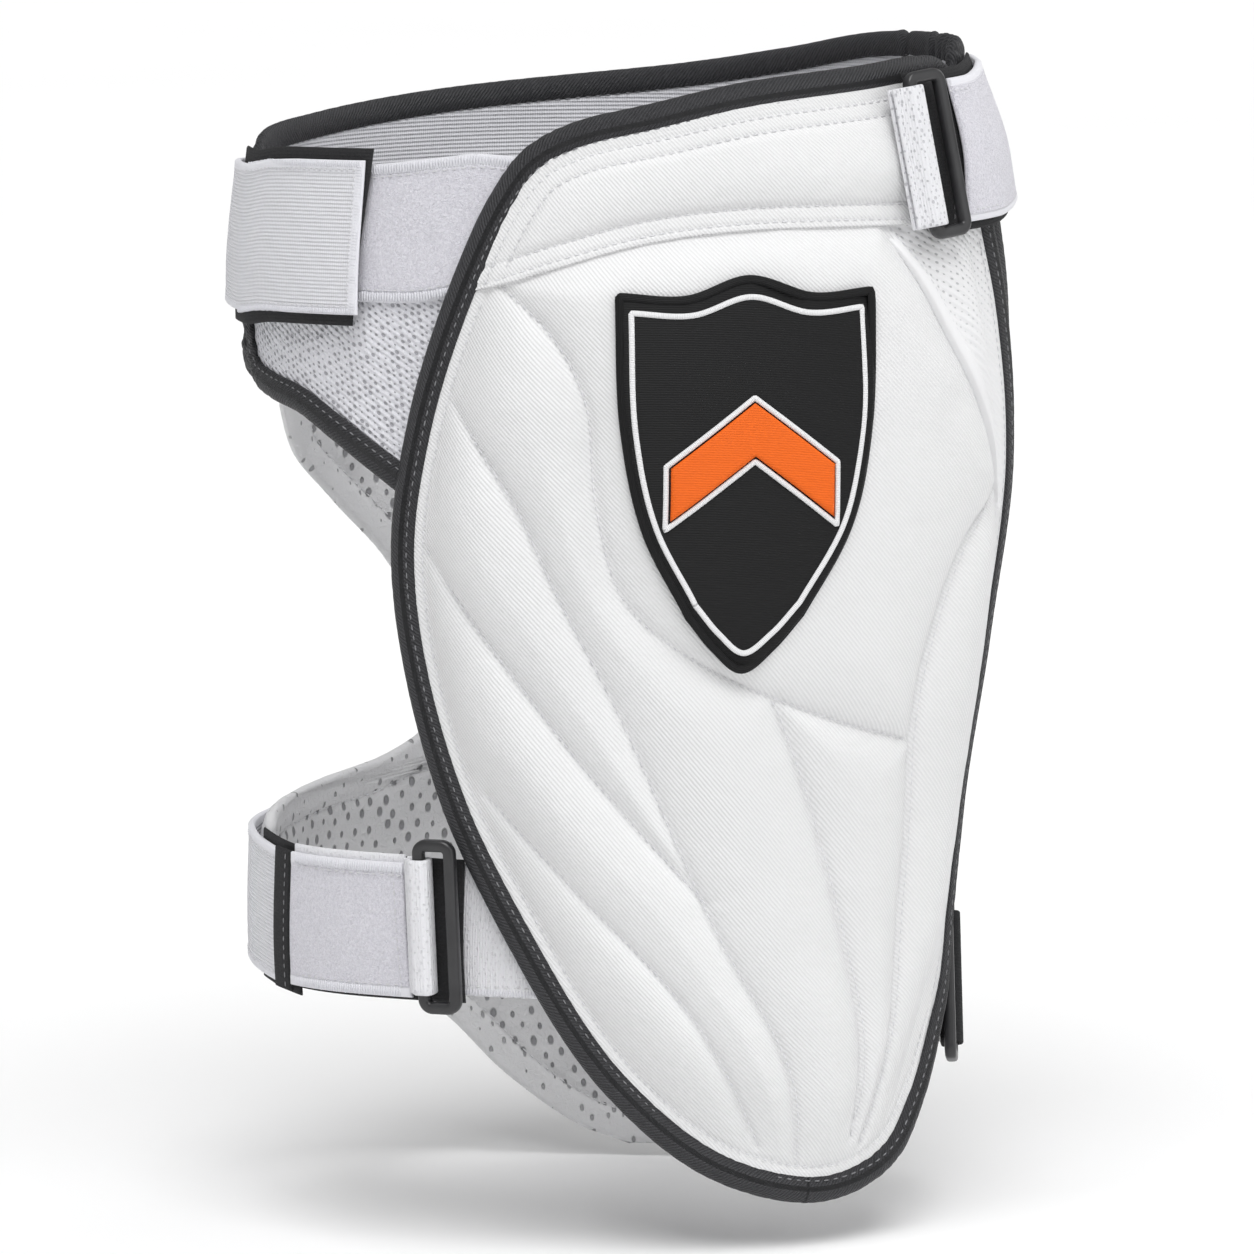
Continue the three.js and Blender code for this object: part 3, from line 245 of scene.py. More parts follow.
def evened(line, count):
    """The line with its points spaced evenly."""
    scaled = line * (FRONT_SCALE, 1)
    length = np.concatenate([[0], np.cumsum(np.linalg.norm(np.diff(scaled, axis=0), axis=1))])
    share = np.linspace(0, length[-1], count)
    return np.stack([np.interp(share, length, line[:, k]) for k in (0, 1)], -1)


def smooth_line(rows, closed=False, count=600):
    """Even flat points on a smooth curve through rows of (turn, share of the height)."""
    points = np.asarray(rows, float)[:, :2] * (FRONT_SCALE, TALL)
    if closed:
        row = np.vstack([points[-1:], points, points[:2]])
    else:
        row = np.vstack([2 * points[:1] - points[1:2], points, 2 * points[-1:] - points[-2:-1]])
    t = np.linspace(0, 1, 24, endpoint=False)[:, None]
    made = []
    for p0, p1, p2, p3 in zip(row, row[1:], row[2:], row[3:]):
        d0, d1, d2 = (max(np.linalg.norm(b - a), 1e-9) ** 0.5 for a, b in ((p0, p1), (p1, p2), (p2, p3)))
        start = ((p1 - p0) / d0 - (p2 - p0) / (d0 + d1) + (p2 - p1) / d1) * d1
        stop = ((p2 - p1) / d1 - (p3 - p1) / (d1 + d2) + (p3 - p2) / d2) * d1
        bend = t * t * (3 - 2 * t)
        made.append(p1 * (1 - bend) + p2 * bend + t * (1 - t) ** 2 * start - t * t * (1 - t) * stop)
    made.append(points[:1] if closed else points[-1:])
    return evened(np.vstack(made) / (FRONT_SCALE, 1), count)


def at(line, share):
    """The points at shares of a line's length."""
    place = np.asarray(share, float) * (len(line) - 1)
    return np.stack([np.interp(place, np.arange(len(line)), line[:, k]) for k in (0, 1)], -1)


def part(line, start, stop, count=400, closed=False):
    """The stretch of a line between two shares of its length."""
    share = np.linspace(start, stop, count)
    return at(line, share % 1 if closed else share)


def aside(line, distance, closed=False):
    """The line moved sideways, to the right of its travel where the distance is positive."""
    if closed:
        body = line[:-1]
        step = np.roll(body, -1, 0) - np.roll(body, 1, 0)
        step = np.vstack([step, step[:1]])
    else:
        step = np.gradient(line, axis=0)
    scale = per_degree(line)
    right = np.stack([step[:, 1], -step[:, 0] * scale], -1)
    right /= np.linalg.norm(right, axis=1, keepdims=True)
    return line + right * distance / np.stack([scale, 1 + 0 * scale], -1)


def share_near(line, point):
    """The share of a line's length that lies nearest to a flat point."""
    away = (line - np.asarray(point)) * (FRONT_SCALE, 1)
    return float(np.argmin(np.linalg.norm(away, axis=1))) / (len(line) - 1)


def pinned(line, first, last):
    """A smooth line through a few points of another, with its ends moved."""
    few = at(line, np.linspace(0, 1, 13))
    few[0], few[-1] = first, last
    return smooth_line(few / (1, TALL))


def distance_to(line, flat):
    """Millimetres from each flat point to a line of flat points."""
    shape = flat.shape[:-1]
    points = flat.reshape(-1, 2)
    scale = per_degree(points)
    nearest = np.full(len(points), np.inf)
    for a, b in zip(line, line[1:]):
        ax, ay = (a[0] - points[:, 0]) * scale, a[1] - points[:, 1]
        bx, by = (b[0] - a[0]) * scale, b[1] - a[1]
        t = np.clip(-(ax * bx + ay * by) / (bx * bx + by * by + 1e-12), 0, 1)
        nearest = np.minimum(nearest, np.hypot(ax + bx * t, ay + by * t))
    return nearest.reshape(shape)


def patch(bottom, top, left, right, across, along):
    """Flat points over the area between four lines: rows go up, columns go to the right."""
    u, v = np.linspace(0, 1, across + 1), np.linspace(0, 1, along + 1)
    low, high, start, stop = at(bottom, u), at(top, u), at(left, v), at(right, v)
    u, v = u[None, :, None], v[:, None, None]
    made = low[None] * (1 - v) + high[None] * v + start[:, None] * (1 - u) + stop[:, None] * u
    made -= low[0] * (1 - u) * (1 - v) + low[-1] * u * (1 - v)
    return made - high[0] * (1 - u) * v - high[-1] * u * v


def finer(field, shape):
    """A field over a grid, read again on a finer grid."""
    rows, cols = field.shape
    v, u = np.linspace(0, rows - 1, shape[0]), np.linspace(0, cols - 1, shape[1])
    tall = np.stack([np.interp(v, np.arange(rows), field[:, c]) for c in range(cols)], 1)
    return np.stack([np.interp(u, np.arange(cols), row) for row in tall])


def softened(field, passes):
    """A field over a grid, evened out between neighbours with its border kept."""
    field = field.copy()
    for _ in range(passes):
        inner = field[:-2, 1:-1] + field[2:, 1:-1] + field[1:-1, :-2] + field[1:-1, 2:]
        field[1:-1, 1:-1] = field[1:-1, 1:-1] / 2 + inner / 8
    return field


def rumple(flat, size, seed):
    """Smooth waves of about a millimetre size over flat points, from -1 to 1."""
    dice = np.random.default_rng(seed)
    x, y = mm_round(flat[..., 0]), flat[..., 1]
    total = 0
    for _ in range(7):
        way, phase = dice.uniform(0, 2 * math.pi, 2)
        pitch = size * dice.uniform(0.7, 1.5)
        total = total + np.sin((x * math.cos(way) + y * math.sin(way)) * 2 * math.pi / pitch + phase)
    return total / 7


# Meshes


def new_mesh(name, places, faces, uv=None, edge=None):
    """An object from places in metres and faces, with its pattern places in millimetres as UVs."""
    mesh = bpy.data.meshes.new(name)
    mesh.from_pydata([tuple(p) for p in places], [], faces)
    if uv is not None:
        layer = mesh.uv_layers.new(name="UVMap")
        corner = np.empty(len(mesh.loops), np.int32)
        mesh.loops.foreach_get("vertex_index", corner)
        layer.data.foreach_set("uv", np.asarray(uv, np.float32)[corner].ravel())
    if edge is not None:
        mesh.attributes.new("edge", "FLOAT", "POINT").data.foreach_set("value", np.asarray(edge, np.float32))
    mesh.polygons.foreach_set("use_smooth", np.ones(len(mesh.polygons), bool))
    mesh.update()
    obj = bpy.data.objects.new(name, mesh)
    scene.collection.objects.link(obj)
    return obj


def grid_faces(rows, cols, first=0, turned=False):
    """The faces of a grid of corners, counted from the first corner."""
    made = []
    for j in range(rows - 1):
        for i in range(cols - 1):
            a = first + j * cols + i
            face = (a, a + 1, a + 1 + cols, a + cols)
            made.append(face[::-1] if turned else face)
    return made


def border_of(rows, cols):
    """The corners round a grid, in order."""
    loop = [i for i in range(cols)] + [j * cols + cols - 1 for j in range(1, rows)]
    loop += [(rows - 1) * cols + i for i in range(cols - 2, -1, -1)]
    return loop + [j * cols for j in range(rows - 2, 0, -1)]


def shell(name, flat, outer, inner, uv=None, edge=None):
    """A closed panel between two lifts over a grid of flat points."""
    rows, cols = flat.shape[:2]
    outer = np.broadcast_to(outer, (rows, cols))
    inner = np.broadcast_to(inner, (rows, cols))
    if uv is None:
        uv = np.stack([mm_round(flat[..., 0]), flat[..., 1]], -1)
    places = np.vstack([on_thigh(flat, outer).reshape(-1, 3), on_thigh(flat, inner).reshape(-1, 3)])
    count = rows * cols
    faces = grid_faces(rows, cols) + grid_faces(rows, cols, count, turned=True)
    loop = border_of(rows, cols)
    for a, b in zip(loop, loop[1:] + loop[:1]):
        faces.append((b, a, a + count, b + count))
    uv = np.vstack([uv.reshape(-1, 2)] * 2)
    edge = None if edge is None else np.concatenate([edge.ravel()] * 2)
    return new_mesh(name, places, faces, uv, edge)


def spread(length, fine, step):
    """Places along a length, close together near both ends."""
    ends = np.array([0, 0.12, 0.4, 1]) * fine
    count = max(int(round((length - 2 * fine) / step)), 1)
    middle = np.linspace(fine, length - fine, count + 1)
    return np.concatenate([ends[:-1], middle, length - ends[::-1][1:]])


def grid_edge(flat):
    """The flat points round a grid, in order."""
    return np.vstack([flat[0], flat[1:, -1], flat[-1, ::-1], flat[::-1, 0]])


def length_of(line):
    """A flat line's length in millimetres, as the front's scale has it."""
    return np.linalg.norm(np.diff(line * (FRONT_SCALE, 1), axis=0), axis=1).sum()


def straight(first, last):
    """A straight flat line between two points."""
    return evened(np.vstack([first, last]), 60)


def rounding(distance, radius):
    """A rounded edge's share of its full wall at a distance from the edge."""
    return np.sqrt(1 - (1 - np.clip(distance / radius, 0, 1)) ** 2)


def strip(name, middle, start, stop, width, lower, upper, lean=(0, 0), hem=0.0, hem_rise=0.0, step=2.0,
          sides=2.0, hem_end=False, flare=0.0):
    """A flat strap along a table of (turn, share of the height[, lift]) with rounded edges."""
    table = np.asarray(middle, float)
    if table[0, 0] > table[-1, 0]:
        table = table[::-1]
    length = abs(mm_round(stop) - mm_round(start))
    along = spread(length, 0.7, step)
    across = spread(width, 0.7, sides)
    turn = start + (stop - start) * along / length
    share = along / length
    scale = per_degree((start, float(read_table(table, start)) * TALL))
    side = (across / width * 2 - 1)[:, None]
    lean_mm = side * (lean[0] * (1 - share) + lean[1] * share)[None]
    turns = turn[None] + lean_mm / scale
    grow = 1 + flare / width * np.clip(share * 4 - 2.6, 0, 1)
    height = read_table(table, turns) * TALL + side * width / 2 * grow[None]
    flat = np.stack([turns, height], -1)
    seat = read_table(table, turns, 2) if table.shape[1] > 2 else 0 * turns
    near = np.minimum(np.minimum(across, width - across)[:, None], np.minimum(along, length - along)[None])
    round_off = rounding(near, 0.7)
    side_near = np.broadcast_to(np.minimum(across, width - across)[:, None], near.shape)
    near = np.minimum(side_near, (length - along)[None]) if hem_end else side_near
    middle_lift, half = seat + (lower + upper) / 2, (upper - lower) / 2 * round_off
    fat = hem_rise * round_off * (1 - np.clip((near - hem) / 0.8, 0, 1)) if hem else 0
    uv = np.stack([mm_round(turns), np.broadcast_to(across[:, None] - width / 2, turns.shape)], -1)
    return shell(name, flat, middle_lift + half + fat, middle_lift - half, uv, near)


def sweep(name, line, lift, profile, closed=False, swell=None):
    """A bead along a flat line. Its profile holds (aside, outwards), with the inner side positive."""
    centre = on_thigh(line, lift)
    if closed:
        centre, line = centre[:-1], line[:-1]
        along = np.roll(centre, -1, 0) - np.roll(centre, 1, 0)
    else:
        along = np.gradient(centre, axis=0)
    along /= np.linalg.norm(along, axis=1, keepdims=True)
    out = outward(line)
    out -= along * (out * along).sum(1, keepdims=True)
    out /= np.linalg.norm(out, axis=1, keepdims=True)
    right = np.cross(along, out)
    count, sides = len(line), len(profile)
    size = np.ones((count, sides)) if swell is None else swell
    shape = np.asarray(profile, float)
    places = centre[:, None] + MM * size[..., None] * (
        shape[None, :, :1] * right[:, None] + shape[None, :, 1:] * out[:, None])
    faces = []
    for i in range(count if closed else count - 1):
        j = (i + 1) % count
        for k in range(sides):
            m = (k + 1) % sides
            faces.append((i * sides + k, i * sides + m, j * sides + m, j * sides + k))
    if not closed:
        faces.append(tuple(range(sides))[::-1])
        faces.append(tuple((count - 1) * sides + k for k in range(sides)))
    gone = np.concatenate([[0], np.cumsum(np.linalg.norm(np.diff(centre, axis=0), axis=1))]) / MM
    girth = np.concatenate([[0], np.cumsum(np.linalg.norm(np.diff(shape, axis=0), axis=1))])
    uv = np.stack(np.broadcast_arrays(gone[:, None], girth[None]), -1).reshape(-1, 2)
    return facing_out(new_mesh(name, places.reshape(-1, 3), faces, uv))


def facing_out(obj):
    """Turns a closed piece's faces so that they point outwards."""
    mesh = obj.data
    mesh.calc_loop_triangles()
    corner = np.array([t.vertices[:] for t in mesh.loop_triangles])
    places = np.empty(len(mesh.vertices) * 3)
    mesh.vertices.foreach_get("co", places)
    p = places.reshape(-1, 3)[corner]
    if (p[:, 0] * np.cross(p[:, 1], p[:, 2])).sum() < 0:
        mesh.flip_normals()
    return obj


def puffed(flat, lift, sewn, pressure, cap):
    """How far cloth held down where it is sewn swells outwards, in millimetres over a grid."""
    rows, cols = flat.shape[:2]
    start = on_thigh(flat, lift).reshape(-1, 3)
    cloth = new_mesh("swelling", start, grid_faces(rows, cols))
    held = cloth.vertex_groups.new(name="sewn")
    for index, weight in enumerate(sewn.ravel()):
        if weight > 0.01:
            held.add([index], float(weight), "REPLACE")
    swell = cloth.modifiers.new("swell", "CLOTH")
    swell.settings.quality = 5
    swell.settings.mass = 0.2
    swell.settings.use_pressure = True
    swell.settings.uniform_pressure_force = pressure
    swell.settings.effector_weights.gravity = 0
    swell.settings.vertex_group_mass = "sewn"
    swell.settings.pin_stiffness = 1
    swell.settings.tension_stiffness = 12
    swell.settings.compression_stiffness = 12
    swell.settings.shear_stiffness = 5
    swell.settings.bending_stiffness = 0.3
    swell.collision_settings.use_collision = False
    for step in range(1, 21):
        scene.frame_set(step)
    shown = cloth.evaluated_get(bpy.context.evaluated_depsgraph_get())
    places = np.empty(len(start) * 3)
    shown.data.vertices.foreach_get("co", places)
    moved = ((places.reshape(-1, 3) - start) * outward(flat).reshape(-1, 3)).sum(1) / MM
    cloth.modifiers.remove(swell)
    bpy.data.objects.remove(cloth)
    scene.frame_set(1)
    return (cap * np.tanh(moved / cap)).reshape(rows, cols)


def surface_of(*objects):
    """What lines are laid on: the faces of some pieces, as they are now."""
    places, faces = [], []
    for obj in objects:
        first = len(places)
        places += [v.co.copy() for v in obj.data.vertices]
        faces += [tuple(first + v for v in p.vertices) for p in obj.data.polygons]
    return BVHTree.FromPolygons(places, faces)


REACH = 45.0


def lift_on(surface, flat, fallback=PAD_EDGE):
    """The lift of a surface under each flat point, looking in from outside."""
    flat = np.asarray(flat, float)
    shape = flat.shape[:-1]
    points = flat.reshape(-1, 2)
    origin, way = on_thigh(points, REACH), -outward(points)
    lifts = []
    for o, w in zip(origin, way):
        hit = surface.ray_cast(Vector(o), Vector(w), REACH * MM)
        lifts.append(fallback if hit[0] is None else REACH - hit[3] / MM)
    return np.array(lifts).reshape(shape)


def finish(obj, material, slot, *nodes):
    """Gives a piece its material and its body, and hides the solids that it stands for; the slot is not used.
    """
    obj.data.materials.clear()
    obj.data.materials.append(material)
    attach(obj, "root")
    if nodes:
        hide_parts(*nodes)
    return obj


def cloth(piece, held, rests_on, with_pieces=()):
    """Hands back a cloth piece as it is; nothing is declared for it and no flat size is taken."""
    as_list(rests_on)
    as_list(with_pieces)
    return piece

# Node helpers


def add(tree, kind, inputs=None, **settings):
    """A node with its settings and its inputs, each a value or another node's output."""
    node = tree.nodes.new(kind)
    for key, value in settings.items():
        setattr(node, key, value)
    for key, value in (inputs or {}).items():
        if isinstance(value, bpy.types.NodeSocket):
            tree.links.new(value, node.inputs[key])
        else:
            node.inputs[key].default_value = value
    return node


def calc(tree, operation, *values):
    return add(tree, "ShaderNodeMath", dict(enumerate(values)), operation=operation).outputs[0]


def scaled(tree, vector, factor):
    return add(tree, "ShaderNodeVectorMath", {0: vector, "Scale": factor}, operation="SCALE").outputs[0]


def group(name, inputs, outputs):
    """An empty shader group with named inputs and outputs, and its two end nodes."""
    tree = bpy.data.node_groups.new(name, "ShaderNodeTree")
    for label, kind, value in inputs:
        socket = tree.interface.new_socket(label, in_out="INPUT", socket_type="NodeSocket" + kind)
        if kind == "Float":
            socket.default_value = value
    for label, kind in outputs:
        tree.interface.new_socket(label, in_out="OUTPUT", socket_type="NodeSocket" + kind)
    return tree, tree.nodes.new("NodeGroupInput"), tree.nodes.new("NodeGroupOutput")


def holes_group():
    """Staggered round holes; places and sizes are in millimetres."""
    tree, start, end = group(
        "staggered holes",
        [("Place", "Vector", None), ("Across", "Float", 3), ("Up", "Float", 1.5), ("Radius", "Float", 0.6),
         ("Stretch", "Float", 1), ("Uneven", "Float", 0.2), ("Jitter", "Float", 0.2)],
        [("Hole", "Float")])
    split = add(tree, "ShaderNodeSeparateXYZ", {0: start.outputs["Place"]})
    tall = calc(tree, "DIVIDE", split.outputs["Y"], start.outputs["Up"])
    row = calc(tree, "FLOOR", tall)
    shift = calc(tree, "MULTIPLY", calc(tree, "FLOORED_MODULO", row, 2.0), 0.5)
    wide = calc(tree, "ADD", calc(tree, "DIVIDE", split.outputs["X"], start.outputs["Across"]), shift)
    cell = add(tree, "ShaderNodeCombineXYZ", {"X": calc(tree, "FLOOR", wide), "Y": row})
    dice = add(tree, "ShaderNodeTexWhiteNoise", {"Vector": cell.outputs[0]}, noise_dimensions="3D")
    vary = calc(tree, "MULTIPLY", calc(tree, "SUBTRACT", dice.outputs["Value"], 0.5), start.outputs["Uneven"])
    radius = calc(tree, "MULTIPLY", start.outputs["Radius"], calc(tree, "ADD", vary, 1.0))
    x = calc(tree, "MULTIPLY", calc(tree, "SUBTRACT", calc(tree, "FRACT", wide), 0.5),
             start.outputs["Across"])
    y = calc(tree, "MULTIPLY", calc(tree, "SUBTRACT", calc(tree, "FRACT", tall), 0.5), start.outputs["Up"])
    stray = add(tree, "ShaderNodeSeparateColor", {0: dice.outputs["Color"]})
    loose = calc(tree, "MULTIPLY", start.outputs["Jitter"], start.outputs["Up"])
    x = calc(tree, "MULTIPLY_ADD", calc(tree, "SUBTRACT", stray.outputs["Green"], 0.5), loose, x)
    y = calc(tree, "MULTIPLY_ADD", calc(tree, "SUBTRACT", stray.outputs["Blue"], 0.5), loose, y)
    x = calc(tree, "DIVIDE", x, radius)
    y = calc(tree, "DIVIDE", y, calc(tree, "MULTIPLY", radius, start.outputs["Stretch"]))
    away = calc(tree, "SQRT", calc(tree, "ADD", calc(tree, "MULTIPLY", x, x), calc(tree, "MULTIPLY", y, y)))
    fall = add(tree, "ShaderNodeMapRange", {"Value": away, "From Min": 1.35, "From Max": 0.7},
               interpolation_type="SMOOTHSTEP")
    tree.links.new(fall.outputs["Result"], end.inputs["Hole"])
    return tree


def ribs_group():
    """Round ribs at an angle, with a slight wander."""
    tree, start, end = group(
        "ribs",
        [("Place", "Vector", None), ("Pitch", "Float", 1.4), ("Angle", "Float", 0), ("Wander", "Float", 0.2)],
        [("Height", "Float")])
    split = add(tree, "ShaderNodeSeparateXYZ", {0: start.outputs["Place"]})
    x = calc(tree, "MULTIPLY", split.outputs["X"], calc(tree, "SINE", start.outputs["Angle"]))
    y = calc(tree, "MULTIPLY", split.outputs["Y"], calc(tree, "COSINE", start.outputs["Angle"]))
    noise = add(tree, "ShaderNodeTexNoise", {"Vector": start.outputs["Place"], "Scale": 0.35, "Detail": 2.0})
    drift = calc(tree, "MULTIPLY", calc(tree, "SUBTRACT", noise.outputs["Fac"], 0.5), start.outputs["Wander"])
    turns = calc(tree, "DIVIDE", calc(tree, "ADD", calc(tree, "ADD", x, y), drift), start.outputs["Pitch"])
    wave = calc(tree, "COSINE", calc(tree, "MULTIPLY", turns, 2 * math.pi))
    tree.links.new(calc(tree, "MULTIPLY_ADD", wave, 0.5, 0.5), end.inputs["Height"])
    return tree


def fuzz_group():
    """Soft tangled fibres: fine relief and a tone that drifts over the cloth."""
    tree, start, end = group(
        "fuzz", [("Place", "Vector", None), ("Size", "Float", 0.8)], [("Height", "Float"), ("Tone", "Float")])
    close = calc(tree, "DIVIDE", 1.0, start.outputs["Size"])
    fine = add(tree, "ShaderNodeTexNoise", {
        "Vector": start.outputs["Place"], "Scale": close, "Detail": 3.0, "Roughness": 0.65,
        "Distortion": 0.8})
    wide = add(tree, "ShaderNodeTexNoise", {
        "Vector": start.outputs["Place"], "Scale": calc(tree, "MULTIPLY", close, 0.12), "Detail": 2.0})
    tree.links.new(fine.outputs["Fac"], end.inputs["Height"])
    tree.links.new(wide.outputs["Fac"], end.inputs["Tone"])
    return tree


HOLES, RIBS, FUZZ = holes_group(), ribs_group(), fuzz_group()


class Finish:
    """A material under way: its shader, and its pattern's places on the cloth and in the body."""

    def __init__(self, name, roughness, **sockets):
        self.material = bpy.data.materials.new(name)
        self.material.use_nodes = True
        self.tree = self.material.node_tree
        self.tree.nodes.clear()
        self.shader = add(self.tree, "ShaderNodeBsdfPrincipled", {"Roughness": roughness, **sockets})
        out = add(self.tree, "ShaderNodeOutputMaterial")
        self.tree.links.new(self.shader.outputs[0], out.inputs[0])
        self.cloth = add(self.tree, "ShaderNodeUVMap", uv_map="UVMap").outputs[0]
        where = add(self.tree, "ShaderNodeTexCoord").outputs["Object"]
        self.body = scaled(self.tree, where, 1000.0)

    def group(self, tree, **inputs):
        node = add(self.tree, "ShaderNodeGroup", node_tree=tree)
        for label, value in inputs.items():
            if isinstance(value, bpy.types.NodeSocket):
                self.tree.links.new(value, node.inputs[label])
            else:
                node.inputs[label].default_value = value
        return node.outputs

    def calc(self, operation, *values):
        return calc(self.tree, operation, *values)

    def colours(self, factor, *stops):
        """A colour that runs through stops of (factor, grey or colour)."""
        ramp = add(self.tree, "ShaderNodeValToRGB", {"Fac": factor})
        band = ramp.color_ramp
        while len(band.elements) < len(stops):
            band.elements.new(0.5)
        for element, (place, colour) in zip(band.elements, stops):
            element.position = place
            element.color = (*colour, 1)
        return ramp.outputs["Color"]

    def mixed(self, factor, a, b, blend="MIX"):
        node = add(self.tree, "ShaderNodeMix", data_type="RGBA", blend_type=blend)
        for socket, value in zip((node.inputs[0], node.inputs[6], node.inputs[7]), (factor, a, b)):
            if isinstance(value, bpy.types.NodeSocket):
                self.tree.links.new(value, socket)
            else:
                socket.default_value = value if isinstance(value, float) else (*value, 1)
        return node.outputs[2]

    def done(self, colour, height, depth, roughness=None):
        """Joins the colour and a relief of some millimetres, and gives the material."""
        self.tree.links.new(colour, self.shader.inputs["Base Color"])
        bump = add(self.tree, "ShaderNodeBump", {"Height": height, "Distance": depth * MM, "Strength": 1.0})
        self.tree.links.new(bump.outputs[0], self.shader.inputs["Normal"])
        if roughness is not None:
            self.tree.links.new(roughness, self.shader.inputs["Roughness"])
        return self.material


def coated_twill(name="white coated twill"):
    f = Finish(name, 0.58, **{"Specular IOR Level": 0.35})
    twill = f.group(RIBS, Place=f.cloth, Pitch=1.05, Angle=0.85, Wander=0.25)["Height"]
    cross = f.group(RIBS, Place=f.cloth, Pitch=0.8, Angle=-0.7, Wander=0.2)["Height"]
    fuzz = f.group(FUZZ, Place=f.body, Size=9.0)
    weave = f.calc("MULTIPLY_ADD", cross, 0.35, twill)
    # The twill's furrows are painted darker grey than its ridges: painted shade in the weave of a white
    # cloth.
    colour = f.mixed(f.calc("MULTIPLY", twill, 0.8), (0.66, 0.66, 0.668), (0.82, 0.82, 0.825))
    colour = f.mixed(0.4, colour, f.colours(fuzz["Tone"], (0.3, (0.74, 0.74, 0.746)),
                                            (0.7, (0.8, 0.8, 0.804))))
    height = f.calc("MULTIPLY_ADD", fuzz["Height"], 0.5, weave)
    return f.done(colour, height, 0.11)


def binding_leather():
    f = Finish("charcoal binding", 0.52, **{"Specular IOR Level": 0.4})
    grain = f.group(RIBS, Place=f.cloth, Pitch=1.0, Angle=2.3, Wander=0.9)["Height"]
    skin = f.group(FUZZ, Place=f.body, Size=0.9)
    crease = f.group(FUZZ, Place=f.body, Size=5.0)
    height = f.calc("MULTIPLY_ADD", grain, 0.7, f.calc("MULTIPLY_ADD", crease["Height"], 2.2, skin["Height"]))
    colour = f.colours(f.calc("MULTIPLY_ADD", grain, 0.35, f.calc("MULTIPLY", skin["Height"], 0.6)),
                       (0.2, (0.012, 0.012, 0.0135)), (0.75, (0.046, 0.046, 0.051)))
    rough = f.calc("MULTIPLY_ADD", skin["Height"], 0.25, 0.42)
    return f.done(colour, height, 0.38, rough)


def spacer_mesh():
    f = Finish("white spacer mesh", 0.8, **{"Sheen Weight": 0.2})
    turned = add(f.tree, "ShaderNodeVectorRotate", {"Vector": f.cloth, "Angle": 0.55}, rotation_type="Z_AXIS")
    hole = f.group(HOLES, Place=turned.outputs[0], Across=2.9, Up=1.95, Radius=0.55, Stretch=0.7, Uneven=0.9,
                   Jitter=0.45)["Hole"]
    knit = f.group(RIBS, Place=turned.outputs[0], Pitch=1.95, Angle=0.0, Wander=0.9)["Height"]
    fuzz = f.group(FUZZ, Place=f.body, Size=0.8)
    fibre = f.colours(fuzz["Height"], (0.3, (0.68, 0.68, 0.73)), (0.65, (0.83, 0.83, 0.87)))
    # The mesh's holes are painted dark grey: painted shade inside the holes of a white mesh.
    colour = f.mixed(f.calc("MULTIPLY", hole, 0.66), fibre, (0.2, 0.2, 0.23))
    height = f.calc("MULTIPLY_ADD", fuzz["Height"], 1.1, f.calc("MULTIPLY_ADD", hole, -1.5, knit))
    return f.done(colour, height, 0.38)


def gusset_mesh():
    f = Finish("white dimpled mesh", 0.7)
    ribs = f.group(RIBS, Place=f.cloth, Pitch=2.3, Angle=0.6, Wander=0.3)["Height"]
    turned = add(f.tree, "ShaderNodeVectorRotate", {"Vector": f.cloth, "Angle": 0.6}, rotation_type="Z_AXIS")
    hole = f.group(HOLES, Place=turned.outputs[0], Across=2.6, Up=2.3, Radius=0.42, Stretch=0.6,
                   Uneven=0.6)["Hole"]
    high = add(f.tree, "ShaderNodeSeparateXYZ", {0: f.cloth}).outputs["Y"]
    open_part = add(f.tree, "ShaderNodeMapRange", {"Value": high, "From Min": 95.0,
                                                   "From Max": 125.0}).outputs[0]
    edge = add(f.tree, "ShaderNodeAttribute", attribute_name="edge").outputs["Fac"]
    inside = add(f.tree, "ShaderNodeMapRange", {"Value": edge, "From Min": 3.4, "From Max": 4.2}).outputs[0]
    dots = f.calc("MULTIPLY", f.calc("MULTIPLY", hole, open_part), inside)
    # The dimples are painted grey: painted shade in the dimples of a white mesh.
    colour = f.mixed(f.calc("MULTIPLY", dots, 0.5), (0.8, 0.8, 0.81), (0.3, 0.3, 0.33))
    height = f.calc("MULTIPLY_ADD", f.calc("MULTIPLY", ribs, inside), 0.7, f.calc("MULTIPLY", dots, -1.0))
    return f.done(colour, height, 0.3)


def hem_mask(f, wide):
    """1 on the hem along a strap's edges, 0 inside."""
    edge = add(f.tree, "ShaderNodeAttribute", attribute_name="edge").outputs["Fac"]
    return add(f.tree, "ShaderNodeMapRange", {"Value": edge, "From Min": wide + 0.3,
                                              "From Max": wide - 0.3}).outputs[0]


def brushed_pile(name="white brushed pile", hem_wide=3.6):
    f = Finish(name, 0.95, **{"Sheen Weight": 0.35, "Sheen Roughness": 0.5})
    fuzz = f.group(FUZZ, Place=f.body, Size=0.75)
    hem = hem_mask(f, hem_wide)
    colour = f.colours(fuzz["Height"], (0.32, (0.6, 0.59, 0.65)), (0.62, (0.8, 0.79, 0.85)))
    colour = f.mixed(hem, colour, (0.72, 0.72, 0.76))
    inner = f.calc("MULTIPLY", f.calc("SUBTRACT", 1.0, hem), fuzz["Height"])
    return f.done(colour, inner, 0.8)


